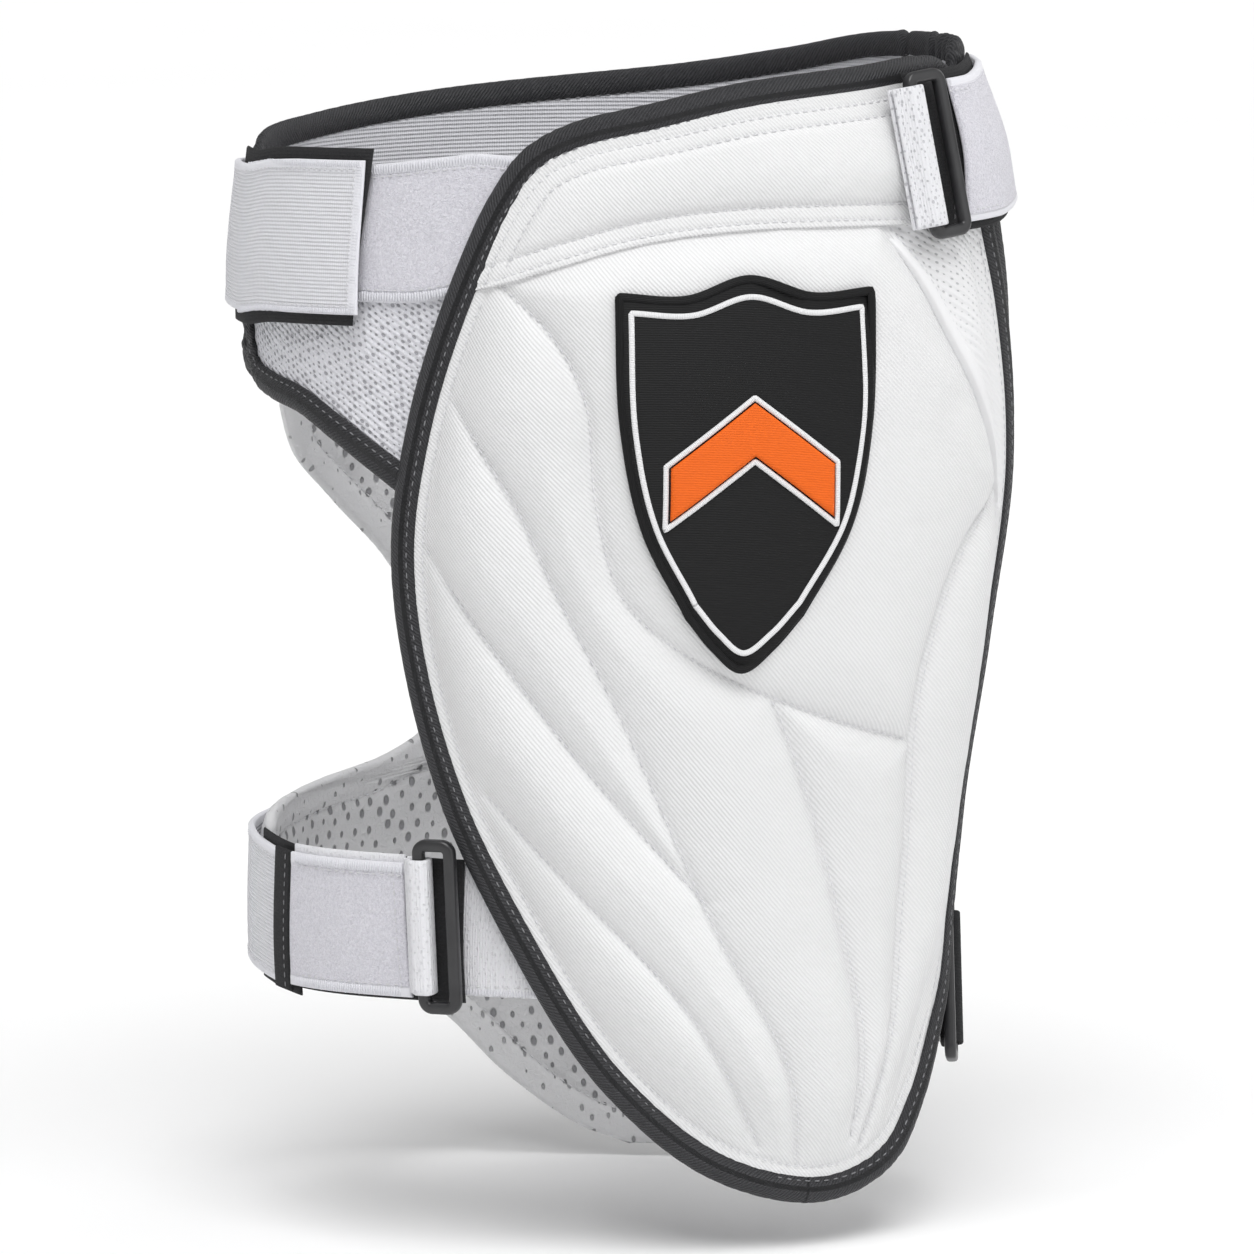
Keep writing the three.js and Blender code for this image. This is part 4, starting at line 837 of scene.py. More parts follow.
def ribbed_elastic(name, pitch, hem_wide, groove_shade=0.62):
    f = Finish(name, 0.82, **{"Sheen Weight": 0.15})
    ribs = f.group(RIBS, Place=f.cloth, Pitch=pitch, Angle=0.0, Wander=0.15)["Height"]
    knit = f.group(RIBS, Place=f.cloth, Pitch=0.85, Angle=1.5708, Wander=0.4)["Height"]
    fuzz = f.group(FUZZ, Place=f.body, Size=0.7)
    hem = hem_mask(f, hem_wide)
    plain = f.calc("SUBTRACT", 1.0, hem)
    cloth = f.calc("MULTIPLY", f.calc("MULTIPLY_ADD", knit, 0.35, ribs), plain)
    # The grey in the ribs' furrows is painted shade; the elastic itself is white, as on the crests.
    weave = f.calc("MULTIPLY_ADD", knit, 0.3, f.calc("MULTIPLY_ADD", fuzz["Height"], 0.3,
                                                     f.calc("MULTIPLY", ribs, 0.5)))
    colour = f.mixed(weave, (groove_shade, groove_shade, groove_shade + 0.03), (0.83, 0.83, 0.87))
    colour = f.mixed(hem, colour, (0.74, 0.74, 0.78))
    height = f.calc("MULTIPLY_ADD", fuzz["Height"], 0.4, cloth)
    return f.done(colour, height, 0.32)


def knit_webbing(name="white knit webbing", dots=0.4):
    f = Finish(name, 0.88, **{"Sheen Weight": 0.2})
    hole = f.group(HOLES, Place=f.cloth, Across=2.0, Up=1.8, Radius=0.26, Stretch=1.5, Uneven=1.1,
                   Jitter=0.6)["Hole"]
    knit = f.group(RIBS, Place=f.cloth, Pitch=0.95, Angle=1.5708, Wander=0.4)["Height"]
    fuzz = f.group(FUZZ, Place=f.body, Size=0.5)
    # The holes are painted dark grey, as strongly as the dots factor says: painted shade inside the holes.
    colour = f.mixed(f.calc("MULTIPLY", hole, dots), (0.81, 0.81, 0.84), (0.25, 0.25, 0.28))
    height = f.calc("MULTIPLY_ADD", knit, 0.5, f.calc("MULTIPLY_ADD", hole, -0.8, fuzz["Height"]))
    return f.done(colour, height, 0.3)


def black_tape():
    f = Finish("black hook tape", 0.85)
    fuzz = f.group(FUZZ, Place=f.body, Size=0.55)
    ribs = f.group(RIBS, Place=f.cloth, Pitch=1.1, Angle=0.0, Wander=0.3)["Height"]
    colour = f.colours(fuzz["Height"], (0.3, (0.006, 0.006, 0.007)), (0.7, (0.022, 0.022, 0.024)))
    return f.done(colour, f.calc("MULTIPLY_ADD", ribs, 0.3, fuzz["Height"]), 0.25)


def ring_plastic():
    f = Finish("charcoal ring plastic", 0.36, **{"Specular IOR Level": 0.5, "Coat Weight": 0.15})
    fuzz = f.group(FUZZ, Place=f.body, Size=1.2)
    colour = f.colours(fuzz["Tone"], (0.3, (0.018, 0.018, 0.0195)), (0.7, (0.029, 0.029, 0.031)))
    rough = f.calc("MULTIPLY_ADD", fuzz["Height"], 0.14, 0.3)
    return f.done(colour, fuzz["Height"], 0.02, rough)


def perforated_lining():
    f = Finish("grey perforated lining", 0.7, **{"Sheen Weight": 0.1})
    hole = f.group(HOLES, Place=f.cloth, Across=7.2, Up=4.8, Radius=0.85, Stretch=1.5, Uneven=0.65,
                   Jitter=0.4)["Hole"]
    small = f.group(HOLES, Place=f.cloth, Across=8.0, Up=5.5, Radius=0.45, Stretch=1.6, Uneven=1.5,
                    Jitter=0.9)["Hole"]
    hem = hem_mask(f, 10.0)
    dots = f.mixed(hem, f.mixed(hole, (0.0, 0.0, 0.0), (1.0, 1.0, 1.0)),
                   f.mixed(small, (0.0, 0.0, 0.0), (0.8, 0.8, 0.8)))
    fuzz = f.group(FUZZ, Place=f.body, Size=2.2)
    skin = f.colours(fuzz["Tone"], (0.3, (0.6, 0.6, 0.61)), (0.7, (0.68, 0.68, 0.69)))
    skin = f.mixed(hem, skin, (0.71, 0.71, 0.72))
    grey = add(f.tree, "ShaderNodeSeparateColor", {0: dots}).outputs["Red"]
    # The perforations are painted near black: painted shade inside the holes of the grey lining.
    colour = f.mixed(f.calc("MULTIPLY", grey, 0.8), skin, (0.15, 0.15, 0.16))
    return f.done(colour, f.calc("MULTIPLY_ADD", grey, -1.5, fuzz["Height"]), 0.5)


def satin_stitch(name, low, high, angle=0.0, rough=0.6):
    f = Finish(name, rough, **{"Specular IOR Level": 0.25})
    ribs = f.group(RIBS, Place=f.cloth, Pitch=0.55, Angle=angle, Wander=0.25)["Height"]
    fuzz = f.group(FUZZ, Place=f.body, Size=0.8)
    # The furrows between the satin threads are painted darker than their crests: painted shade between
    # threads of one colour.
    colour = f.mixed(f.calc("MULTIPLY_ADD", ribs, 0.6, f.calc("MULTIPLY", fuzz["Height"], 0.4)), low, high)
    return f.done(colour, f.calc("MULTIPLY_ADD", fuzz["Height"], 0.4, ribs), 0.12)


def thread(name, low, high):
    f = Finish(name, 0.6)
    fuzz = f.group(FUZZ, Place=f.body, Size=0.35)
    return f.done(f.colours(fuzz["Height"], (0.3, low), (0.7, high)), fuzz["Height"], 0.05)


def pale_floor():
    f = Finish("pale floor", 0.9, **{"Specular IOR Level": 0.1})
    fuzz = f.group(FUZZ, Place=f.body, Size=60.0)
    return f.done(f.colours(fuzz["Tone"], (0.2, (0.93, 0.93, 0.93)), (0.8, (0.95, 0.95, 0.95))),
                  fuzz["Height"], 0.01)


PAD_SKIN = coated_twill()
BINDING = binding_leather()
WING_MESH = spacer_mesh()
GUSSET_MESH = gusset_mesh()
PILE = brushed_pile()
STRAP_PILE = brushed_pile("white brushed strap pile", 2.3)
TAB_ELASTIC = ribbed_elastic("white ribbed tab elastic", 1.15, 2.3)
BAND_ELASTIC = ribbed_elastic("white ribbed band elastic", 1.35, 0.2, 0.55)
STRAP_ELASTIC = ribbed_elastic("white ribbed strap elastic", 1.3, 2.2)
WEBBING = knit_webbing()
PLAIN_WEBBING = knit_webbing("white plain webbing", 0.12)
TAPE = black_tape()
PLASTIC = ring_plastic()
LINING = perforated_lining()
EMBLEM_BLACK = satin_stitch("black satin stitch", (0.002, 0.002, 0.002), (0.009, 0.009, 0.01))
EMBLEM_WHITE = satin_stitch("white satin stitch", (0.72, 0.72, 0.73), (0.88, 0.88, 0.89), 1.57)
EMBLEM_ORANGE = satin_stitch("orange satin stitch", (0.72, 0.1, 0.005), (0.95, 0.17, 0.01))
WHITE_THREAD = thread("white thread", (0.58, 0.58, 0.6), (0.76, 0.76, 0.78))
GREY_THREAD = thread("grey thread", (0.12, 0.12, 0.13), (0.26, 0.26, 0.27))
HEM_THREAD = thread("white hem thread", (0.6, 0.6, 0.64), (0.76, 0.76, 0.8))

# Stitches


def stitch_tree():
    """Thread laid along lines: one rounded stitch at each step of the pitch, turned with the line."""
    tree = bpy.data.node_groups.new("stitch run", "GeometryNodeTree")
    face = tree.interface
    face.new_socket("Geometry", in_out="INPUT", socket_type="NodeSocketGeometry")
    for label, value in (("Pitch", 3.2), ("Length", 2.2), ("Width", 0.5), ("Height", 0.4), ("Uneven", 0.1)):
        face.new_socket(label, in_out="INPUT", socket_type="NodeSocketFloat").default_value = value
    face.new_socket("Seed", in_out="INPUT", socket_type="NodeSocketInt").default_value = 3
    face.new_socket("Material", in_out="INPUT", socket_type="NodeSocketMaterial")
    face.new_socket("Geometry", in_out="OUTPUT", socket_type="NodeSocketGeometry")
    start, end = tree.nodes.new("NodeGroupInput"), tree.nodes.new("NodeGroupOutput")
    given = start.outputs

    def millimetres(socket):
        return calc(tree, "MULTIPLY", socket, MM)

    curve = add(tree, "GeometryNodeMeshToCurve", {"Mesh": given["Geometry"]})
    even = add(tree, "GeometryNodeResampleCurve", {"Curve": curve.outputs[0],
                                                   "Length": millimetres(given["Pitch"])},
               mode="LENGTH")
    out = add(tree, "GeometryNodeInputNamedAttribute", {"Name": "out"}, data_type="FLOAT_VECTOR")
    along = add(tree, "GeometryNodeInputTangent")
    turn = add(tree, "FunctionNodeAlignRotationToVector", {"Vector": along.outputs[0]}, axis="X")
    turn = add(tree, "FunctionNodeAlignRotationToVector",
               {"Rotation": turn.outputs[0], "Vector": out.outputs[0]}, axis="Z", pivot_axis="X")
    bead = add(tree, "GeometryNodeMeshUVSphere", {"Segments": 6, "Rings": 4, "Radius": 0.5})
    size = add(tree, "ShaderNodeCombineXYZ", {
        "X": millimetres(given["Length"]), "Y": millimetres(given["Width"]),
        "Z": millimetres(given["Height"])})
    dice = add(tree, "FunctionNodeRandomValue", data_type="FLOAT")
    low, high, seed = [socket for socket in dice.inputs if socket.enabled and socket.name != "ID"]
    tree.links.new(calc(tree, "SUBTRACT", 1.0, given["Uneven"]), low)
    tree.links.new(calc(tree, "ADD", 1.0, given["Uneven"]), high)
    tree.links.new(given["Seed"], seed)
    dice_out = [socket for socket in dice.outputs if socket.enabled][0]
    size = add(tree, "ShaderNodeVectorMath", {0: size.outputs[0], "Scale": dice_out}, operation="SCALE")
    laid = add(tree, "GeometryNodeInstanceOnPoints", {
        "Points": even.outputs[0], "Instance": bead.outputs["Mesh"], "Rotation": turn.outputs[0],
        "Scale": size.outputs[0]})
    real = add(tree, "GeometryNodeRealizeInstances", {"Geometry": laid.outputs[0]})
    smooth = add(tree, "GeometryNodeSetShadeSmooth", {"Geometry": real.outputs[0]})
    painted = add(tree, "GeometryNodeSetMaterial", {"Geometry": smooth.outputs[0],
                                                    "Material": given["Material"]})
    tree.links.new(painted.outputs[0], end.inputs[0])
    return tree


STITCHES = stitch_tree()


def laid_on(line, surface, rise, fallback=PAD_EDGE):
    """Places and outward directions of a flat line laid on a surface."""
    lift = lift_on(surface, line, np.nan) if surface else np.full(len(line), float(fallback))
    missed = np.isnan(lift)
    if missed.all():
        lift[:] = fallback
    elif missed.any():
        lift[missed] = np.interp(np.flatnonzero(missed), np.flatnonzero(~missed), lift[~missed])
    return on_thigh(line, lift + rise), outward(line)


def stitched(name, runs, material, slot, pitch=3.2, length=2.2, width=0.5, height=0.4, uneven=0.1, seed=3):
    """One piece of thread from runs of (places, outward directions)."""
    places, ways, edges = [], [], []
    for points, out in runs:
        first = len(places)
        places += [tuple(p) for p in points]
        ways += [tuple(w) for w in out]
        edges += [(first + i, first + i + 1) for i in range(len(points) - 1)]
    mesh = bpy.data.meshes.new(name + " lines")
    mesh.from_pydata(places, edges, [])
    mesh.attributes.new("out", "FLOAT_VECTOR", "POINT").data.foreach_set(
        "vector", np.array(ways, np.float32).ravel())
    lines = bpy.data.objects.new(name + "_lines", mesh)
    scene.collection.objects.link(lines)
    sewn = lines.modifiers.new("stitches", "NODES")
    sewn.node_group = STITCHES
    values = {"Pitch": pitch, "Length": length, "Width": width, "Height": height, "Uneven": uneven,
              "Seed": seed, "Material": material}
    for item in STITCHES.interface.items_tree:
        if item.in_out == "INPUT" and item.name in values:
            sewn[item.identifier] = values[item.name]
    shown = lines.evaluated_get(bpy.context.evaluated_depsgraph_get())
    made = bpy.data.meshes.new_from_object(shown)
    made.name = name
    bpy.data.objects.remove(lines)
    obj = bpy.data.objects.new(name, made)
    scene.collection.objects.link(obj)
    return finish(obj, material, slot)

# Front pad

pad_rim = smooth_line(PAD_RIM, closed=True, count=1500)
pad_edge = aside(pad_rim, BINDING_WIDE / 2 - 1.5, closed=True)
pad_inner = evened(aside(pad_rim, BINDING_WIDE / 2 + 0.4, closed=True), 260)
pad_outer = aside(pad_rim, 2.0 - BINDING_WIDE / 2, closed=True)
top_seam = smooth_line(TOP_SEAM)
gusset_seam = smooth_line(GUSSET_SEAM)
channels = [smooth_line(rows) for rows in CHANNELS]
few_channels = [evened(line, 40) for line in channels]
few_top, few_gusset = evened(top_seam, 40), evened(gusset_seam, 30)


def near_pad(row):
    return share_near(pad_edge, (row[0], row[1] * TALL))


# The stretch of the edge at the tip that counts as the pad's bottom, to each side
TIP_SHARE = 0.035
seam_left, seam_right = near_pad(TOP_SEAM[0]), near_pad(TOP_SEAM[-1])
top_left, top_right = near_pad((-14, 0.42)), near_pad((67, 0.478))
gusset_foot = near_pad(GUSSET_SEAM[0])
meeting = share_near(top_seam, (GUSSET_SEAM[-1][0], GUSSET_SEAM[-1][1] * TALL))


def crown_at(flat):
    """The pad's stuffing at flat points, in millimetres."""
    return PAD_CROWN * read_table(CROWN, flat[..., 1] / TALL)


def rolled(distance, border, turn):
    """How far the pad has risen at a distance from its border; its right side stays flat for longer."""
    side = np.clip((turn - SIDE_TURNS[0]) / (SIDE_TURNS[1] - SIDE_TURNS[0]), 0, 1)
    side = side * side * (3 - 2 * side)
    border = border + (SIDE_FLAT - border) * side
    reach = (EDGE_ROLL - border) * (1 - side) + SIDE_ROLL * side
    return np.sin(np.clip((distance - border) / reach, 0, 1) * math.pi / 2)


CHANNEL_CREASE = {"deep": 0.9, "wide": 1.2}
GUSSET_CREASE = {"deep": 1.1, "wide": 1.6}
BORDER_CREASE = {"deep": 0.45, "wide": 1.0, "inset": 3.2}
CREASE_START = 6


def quilt_lift(flat, border=BORDER, crease=True):
    """The front pad's surface: rolled up from its border, and drawn down along its channels."""
    roll = rolled(distance_to(pad_inner, flat), border, flat[..., 0])
    away = np.min([distance_to(line, flat) for line in few_channels], axis=0)
    seam = np.minimum(distance_to(few_top, flat), distance_to(few_gusset, flat))
    dent = np.maximum(np.exp(-((away / SEAM_REACH) ** 1.15)), 0.75 * np.exp(-((seam / SEAM_REACH) ** 2)))
    lift = PAD_EDGE + crown_at(flat) * roll - SEAM_DEPTH * dent * roll
    if crease:
        near = distance_to(pad_inner, flat)
        start = np.clip(near / CREASE_START, 0, 1)
        lift -= CHANNEL_CREASE["deep"] * np.exp(-((away / CHANNEL_CREASE["wide"]) ** 2)) * start
        beside = distance_to(few_gusset, flat)
        lift -= GUSSET_CREASE["deep"] * np.exp(-((beside / GUSSET_CREASE["wide"]) ** 2)) * start
        lift -= BORDER_CREASE["deep"] * np.exp(
            -(((near - BORDER_CREASE["inset"]) / BORDER_CREASE["wide"]) ** 2))
    return lift


def top_lift(flat, crease=True):
    """The top panel's surface, with a flat double-stitched border all round and a folded lip below."""
    near = distance_to(pad_inner, flat)
    seam = distance_to(few_top, flat)
    roll = rolled(near, 0, flat[..., 0])
    calm = np.exp(-(np.clip(seam - 6.5, 0, None) / 7.5) ** 1.5)
    lift = PAD_EDGE + crown_at(flat) * roll - 3.4 * calm * roll
    border = 0.8 * (1 - np.exp(-(np.clip(np.minimum(near, seam) - 6.8, 0, None) / 1.6) ** 2))
    lift += 0.7 * rounding(seam, 0.9) + border * np.clip(near / 8, 0, 1)
    if crease:
        for place in (1.9, 6.8):
            lift -= (0.4 * np.exp(-(((seam - place) / 0.7) ** 2))
                     + 0.35 * np.exp(-(((near - place) / 0.8) ** 2)))
    return lift


def gusset_lift(flat, crease=True):
    """The gusset's surface, with a raised lip along its seam."""
    seam = distance_to(few_gusset, flat)
    near = distance_to(pad_inner, flat)
    lift = PAD_EDGE + (crown_at(flat) - 3.4 * np.exp(-(np.clip(seam - 3.5, 0, None) / 7) ** 2)
                       - 3.4 * np.exp(-(distance_to(few_top, flat) / SEAM_REACH) ** 2)) * rolled(
        near, 0, flat[..., 0])
    lift += 1.5 * rounding(seam, 1.1) * np.exp(-(np.clip(seam - 3.2, 0, None) / 1.4) ** 2)
    if crease:
        lift -= 0.4 * np.exp(-(((seam - 3.4) / 0.8) ** 2))
    return lift


def padded_panel(name, lines, lift_of, sewn_lines, coarse, fine, material, slot, pressure, cap, nodes,
                 seed):
    """A stuffed panel: its cloth swells between the lines where it is sewn, then gets its creases."""
    rough = patch(*lines, *coarse)
    lift = lift_of(rough, crease=False)
    sewn = np.clip(1.6 - np.min([distance_to(line, rough) for line in sewn_lines], axis=0) / 2.5, 0, 1)
    sewn[[0, -1]] = 1
    sewn[:, [0, -1]] = 1
    swell = softened(puffed(rough, lift, sewn, pressure, cap), 1)
    flat = patch(*lines, *fine)
    top = lift_of(flat) + finer(swell, flat.shape[:2])
    calm = np.clip((distance_to(pad_inner, flat) - 3) / 15, 0, 1)
    top = top + 0.22 * calm * rumple(flat, 24, seed) + 0.1 * calm * rumple(flat, 9, seed + 1)
    made = shell(name, flat, top, BACK_LIFT, edge=distance_to(few_gusset, flat))
    finish(made, material, slot, *nodes)
    return made


def front_pad_lines():
    """The four lines round the quilted body: bottom, top, left and right."""
    corner = at(top_seam, meeting) + (0.6, 0)
    edge = aside(top_seam, -1.2)
    top = pinned(part(edge, 0, meeting), at(pad_edge, seam_left), corner)
    side = part(pad_edge, 1 - TIP_SHARE, gusset_foot, 500)
    seam = pinned(aside(gusset_seam, 1.2), at(pad_edge, gusset_foot), corner)
    right = np.vstack([at(side, np.linspace(0, 1, 280)), at(seam, np.linspace(0, 1, 121)[1:])])
    left = part(pad_edge, TIP_SHARE, seam_left)
    bottom = part(pad_edge, TIP_SHARE, -TIP_SHARE, closed=True)
    return bottom, top, left, right


def top_panel_lines():
    """The four lines round the top panel."""
    bottom = pinned(aside(top_seam, 0.4), at(pad_edge, seam_left), at(pad_edge, seam_right))
    top = part(pad_edge, top_left, top_right)
    return bottom, top, part(pad_edge, seam_left, top_left), part(pad_edge, seam_right, top_right)


def gusset_lines():
    """The four lines round the gusset."""
    corner = at(top_seam, meeting) - (0.4, 0)
    foot_right = gusset_foot - 3 / 1000
    bottom = part(pad_edge, gusset_foot, foot_right, 20)
    top = pinned(part(aside(top_seam, -1.0), meeting, 1), corner, at(pad_edge, seam_right))
    left = pinned(aside(gusset_seam, -0.3), at(pad_edge, gusset_foot), corner)
    return bottom, top, left, part(pad_edge, foot_right, seam_right)


pad_body = padded_panel(
    "quilted_pad", front_pad_lines(), quilt_lift, few_channels, (72, 116), (150, 240), PAD_SKIN, "pad_skin",
    8.0, 3.4, ["thigh_pad"], 11)
top_body = padded_panel(
    "padded_top_panel", top_panel_lines(), top_lift, [evened(aside(top_seam, -6), 40)], (60, 24), (190, 72),
    PAD_SKIN, "pad_skin", 4.0, 1.5, ["top_panel"], 21)
gusset_body = padded_panel(
    "padded_gusset", gusset_lines(), gusset_lift, [few_gusset], (16, 36), (48, 120), GUSSET_MESH,
    "white_mesh",
    4.0, 1.2, ["mesh_gusset"], 31)


def binding_profile(wide, tall, lip):
    """A folded binding's section: round over the outside, with a thin lip on the inside."""
    half_wide, half_tall = wide / 2, tall / 2
    turns = np.radians(np.linspace(90, 270, 12))
    outer = [(half_wide * math.cos(a), half_tall * math.sin(a)) for a in turns]
    foot = [(half_wide * 0.75, -half_tall), (half_wide * 0.95, lip - 1.6)]
    inner = [(half_wide + 0.1, lip - 0.6), (half_wide + 0.45, lip + 0.1), (half_wide + 0.2, lip + 0.75)]
    return outer + foot + inner + [(half_wide * 0.72, lip + 1.15), (half_wide * 0.38, half_tall * 0.93)]


def creased(line, sides, seed, strength=1.0, folds=()):
    """How much each section of a binding is drawn in, most where its line turns tightly and at its folds."""
    dice = np.random.default_rng(seed)
    count = len(line)
    mm = line * (FRONT_SCALE, 1)
    way = np.unwrap(np.arctan2(*np.gradient(mm, axis=0).T))
    gone = np.concatenate([[0], np.cumsum(np.linalg.norm(np.diff(mm, axis=0), axis=1))])
    turn = np.abs(np.gradient(way)) / np.gradient(gone)
    turn = np.convolve(np.pad(turn, 20, mode="edge"), np.ones(41) / 41, "valid")[:count]
    tight = np.clip(turn / 0.03, 0.12, 1.6)
    size = np.ones((count, sides))
    around = np.arange(sides) / sides * 2 * math.pi
    place = 0.0
    while place < gone[-1]:
        i = min(np.searchsorted(gone, place), count - 1)
        deep = 0.1 * strength * tight[i] * dice.uniform(0.3, 1)
        wide = dice.uniform(0.8, 1.7)
        skew = dice.uniform(-1.5, 1.5)
        centre = place + skew * np.sin(around + dice.uniform(0, 6))
        size -= deep * np.exp(-((gone[:, None] - centre[None]) / wide) ** 2)
        place += dice.uniform(2.2, 6.5) / (0.6 + 0.5 * tight[i])
    for fold in folds:
        centre = gone[share_index(line, fold)] + dice.uniform(-1.5, 1.5) * np.sin(around + dice.uniform(0, 6))
        size -= dice.uniform(0.2, 0.36) * np.exp(
            -((gone[:, None] - centre[None]) / dice.uniform(1.2, 2.0)) ** 2)
        size += 0.1 * np.exp(-((gone[:, None] - centre[None] - 3.4) / 2.2) ** 2)
    return size


def share_index(line, row):
    """The index of a line's point nearest to a row of a table."""
    return int(round(share_near(line, (row[0], row[1] * TALL)) * (len(line) - 1)))


def binding(name, line, tall, lip, seed, closed, nodes, strength=1.0, folds=()):
    """A binding folded over an edge, with creases and the larger folds that are named."""
    profile = binding_profile(BINDING_WIDE, tall, lip)
    bead = sweep(name, line, BACK_LIFT + tall / 2, profile, closed,
                 creased(line[:-1] if closed else line, len(profile), seed, strength, folds))
    return finish(bead, BINDING, "dark_binding", *nodes)


pad_bead = binding("front_binding", evened(pad_rim, 1000), BINDING_TALL,
                   PAD_EDGE - BACK_LIFT - BINDING_TALL / 2, 5, True, ["pad_binding"])

pad_surface = surface_of(pad_body, top_body, gusset_body)
bead_surface = surface_of(pad_bead)


def trimmed(line, start=0.0, stop=0.0):
    """The line with millimetres taken off its ends."""
    length = length_of(line)
    return part(line, start / length, 1 - stop / length, 300)


def run(line, surface, rise=0.12, spacing=1.5):
    """A row of stitches' places along a line on a surface."""
    length = length_of(line)
    return laid_on(evened(line, max(int(length / spacing), 4)), surface, rise)


def rim_part(distance, start, stop):
    """A stretch of the pad's rim, moved in by a distance."""
    line = aside(pad_rim, distance, closed=True)
    return part(line, start, stop, 700, closed=True)


gusset_run = share_near(pad_rim, (GUSSET_SEAM[0][0] + 7, GUSSET_SEAM[0][1] * TALL))
seam_run_left = share_near(pad_rim, (TOP_SEAM[0][0] - 3, TOP_SEAM[0][1] * TALL))
seam_run_right = share_near(pad_rim, (TOP_SEAM[-1][0] + 3, TOP_SEAM[-1][1] * TALL))
half = BINDING_WIDE / 2
pad_runs = [trimmed(line, 1.5, 1.5) for line in channels]
pad_runs += [rim_part(half + 3.7, gusset_run - 1, seam_run_left)]
pad_runs += [aside(trimmed(top_seam, 6, 8), -1.9), aside(trimmed(top_seam, 9, 12), -6.6)]
pad_runs += [rim_part(half + 2.6, seam_run_left + 0.008, seam_run_right - 0.004)]
pad_runs += [rim_part(half + 7.2, seam_run_left + 0.016, seam_run_right - 0.012)]
pad_runs += [aside(trimmed(gusset_seam, 6, 4), 3.2),
             rim_part(half + 3.4, seam_run_right + 0.006, gusset_run - 0.004)]
stitched("pad_stitches", [run(line, pad_surface) for line in pad_runs], WHITE_THREAD, "pad_skin",
         pitch=3.1, length=2.1, width=0.55, height=0.35, seed=7)
stitched("front_binding_stitches", [run(rim_part(half - 1.0, 0, 1), bead_surface)], GREY_THREAD,
         "dark_binding", pitch=3.4, length=2.1, width=0.5, height=0.4, seed=9)

# Emblem: a plain shield with a chevron


def shield_point(side, rise):
    """The flat point at shares of the emblem's half width and height."""
    height = EMBLEM_UP * TALL + rise * EMBLEM_TALL
    return EMBLEM_TURN + side * EMBLEM_WIDE / 2 / float(
        per_degree((EMBLEM_TURN, height), PAD_EDGE + PAD_CROWN)), height


def shield_line(rows, mirror=False, inset=1.0):
    """One of the shield's lines, or its mirror image."""
    points = [shield_point(side * inset * (-1 if mirror else 1), rise * inset) for side, rise in rows]
    return np.array([(turn, height / TALL) for turn, height in points])


def shield_lines(inset=1.0):
    """The four lines round the shield: foot, top, left and right."""
    foot = np.vstack([shield_line(SHIELD_FOOT[1:], True, inset)[::-1],
                      shield_line(SHIELD_FOOT, False, inset)])
    top = np.vstack([shield_line(SHIELD_TOP[1:], True, inset)[::-1], shield_line(SHIELD_TOP, False, inset)])
    left, right = shield_line(SHIELD_SIDE, True, inset), shield_line(SHIELD_SIDE, False, inset)
    return smooth_line(foot), smooth_line(top), smooth_line(left), smooth_line(right)


def shield_outline(inset):
    foot, top, left, right = shield_lines(inset)
    return evened(np.vstack([foot, right[1:], top[::-1][1:], left[::-1][1:]]), 500)


def laid_patch(name, flat, under, rise, wall, edge_round, material, slot, nodes=()):
    seat = softened(lift_on(under, flat, PAD_EDGE + PAD_CROWN), 6) + rise
    rows, cols = flat.shape[:2]
    border = grid_edge(flat)
    near = distance_to(evened(border, 120), flat)
    top = seat + wall * (0.35 + 0.65 * rounding(near, edge_round))
    made = shell(name, flat, top, seat - 0.6, edge=near)
    return finish(made, material, slot, *nodes)


def cord_on(name, line, under, rise, wide, tall, material, slot, closed=True):
    """A satin-stitched cord laid along a line on a surface."""
    seat = lift_on(under, line, PAD_EDGE + PAD_CROWN) + rise
    smooth = np.convolve(np.pad(seat, 8, mode="wrap" if closed else "edge"), np.ones(17) / 17, "valid")
    turns = np.radians(np.linspace(0, 360, 10, endpoint=False))
    profile = [(wide / 2 * math.cos(a), tall / 2 * math.sin(a)) for a in turns[::-1]]
    return finish(sweep(name, line, smooth, profile, closed), material, slot)


shield = laid_patch("shield_patch", patch(*shield_lines(), 60, 90), pad_surface, 0.5, 1.3, 1.2,
                    EMBLEM_BLACK, "emblem_field", ["emblem_patch"])
shield_surface = surface_of(shield)
cord_on("shield_border", shield_outline(0.985), shield_surface, 0.1, 3.0, 1.5, EMBLEM_BLACK, "emblem_field")
cord_on("shield_inline", shield_outline(0.90), shield_surface, 0.0, 1.9, 1.1, EMBLEM_WHITE, "emblem_field")

CHEVRON_REACH, CHEVRON_THICK, CHEVRON_CORD_REACH, CHEVRON_CORD_THICK = 0.62, 17, 0.655, 20.5
CHEVRON_RISE, CHEVRON_DROP = 0.12, 0.26


def chevron_grid(reach, thick, across, along):
    """Flat points over a chevron that falls from its middle to both sides."""
    u, v = np.linspace(-reach, reach, across + 1), np.linspace(-0.5, 0.5, along + 1)
    flat = np.empty((along + 1, across + 1, 2))
    for j, b in enumerate(v):
        for i, a in enumerate(u):
            flat[j, i] = shield_point(a, CHEVRON_RISE - CHEVRON_DROP * abs(a) + b * thick / EMBLEM_TALL)
    return flat


laid_patch("chevron_patch", chevron_grid(CHEVRON_REACH, CHEVRON_THICK, 60, 16), shield_surface, 0.55, 0.8,
           0.9, EMBLEM_ORANGE, "emblem_chevron", ["emblem_chevron"])
rim = chevron_grid(CHEVRON_CORD_REACH, CHEVRON_CORD_THICK, 40, 2)
chevron_edge = evened(np.vstack([rim[0], rim[1:, -1], rim[-1, ::-1][1:], rim[::-1, 0][1:]]), 400)
cord_on("chevron_inline", chevron_edge, shield_surface, 0.1, 1.8, 1.2, EMBLEM_WHITE, "emblem_chevron")

# Wing

wing_rim = smooth_line([(-35.4, 0.153)] + WING_RIM)
wing_inner = aside(wing_rim, BINDING_WIDE / 2 - 1.5)


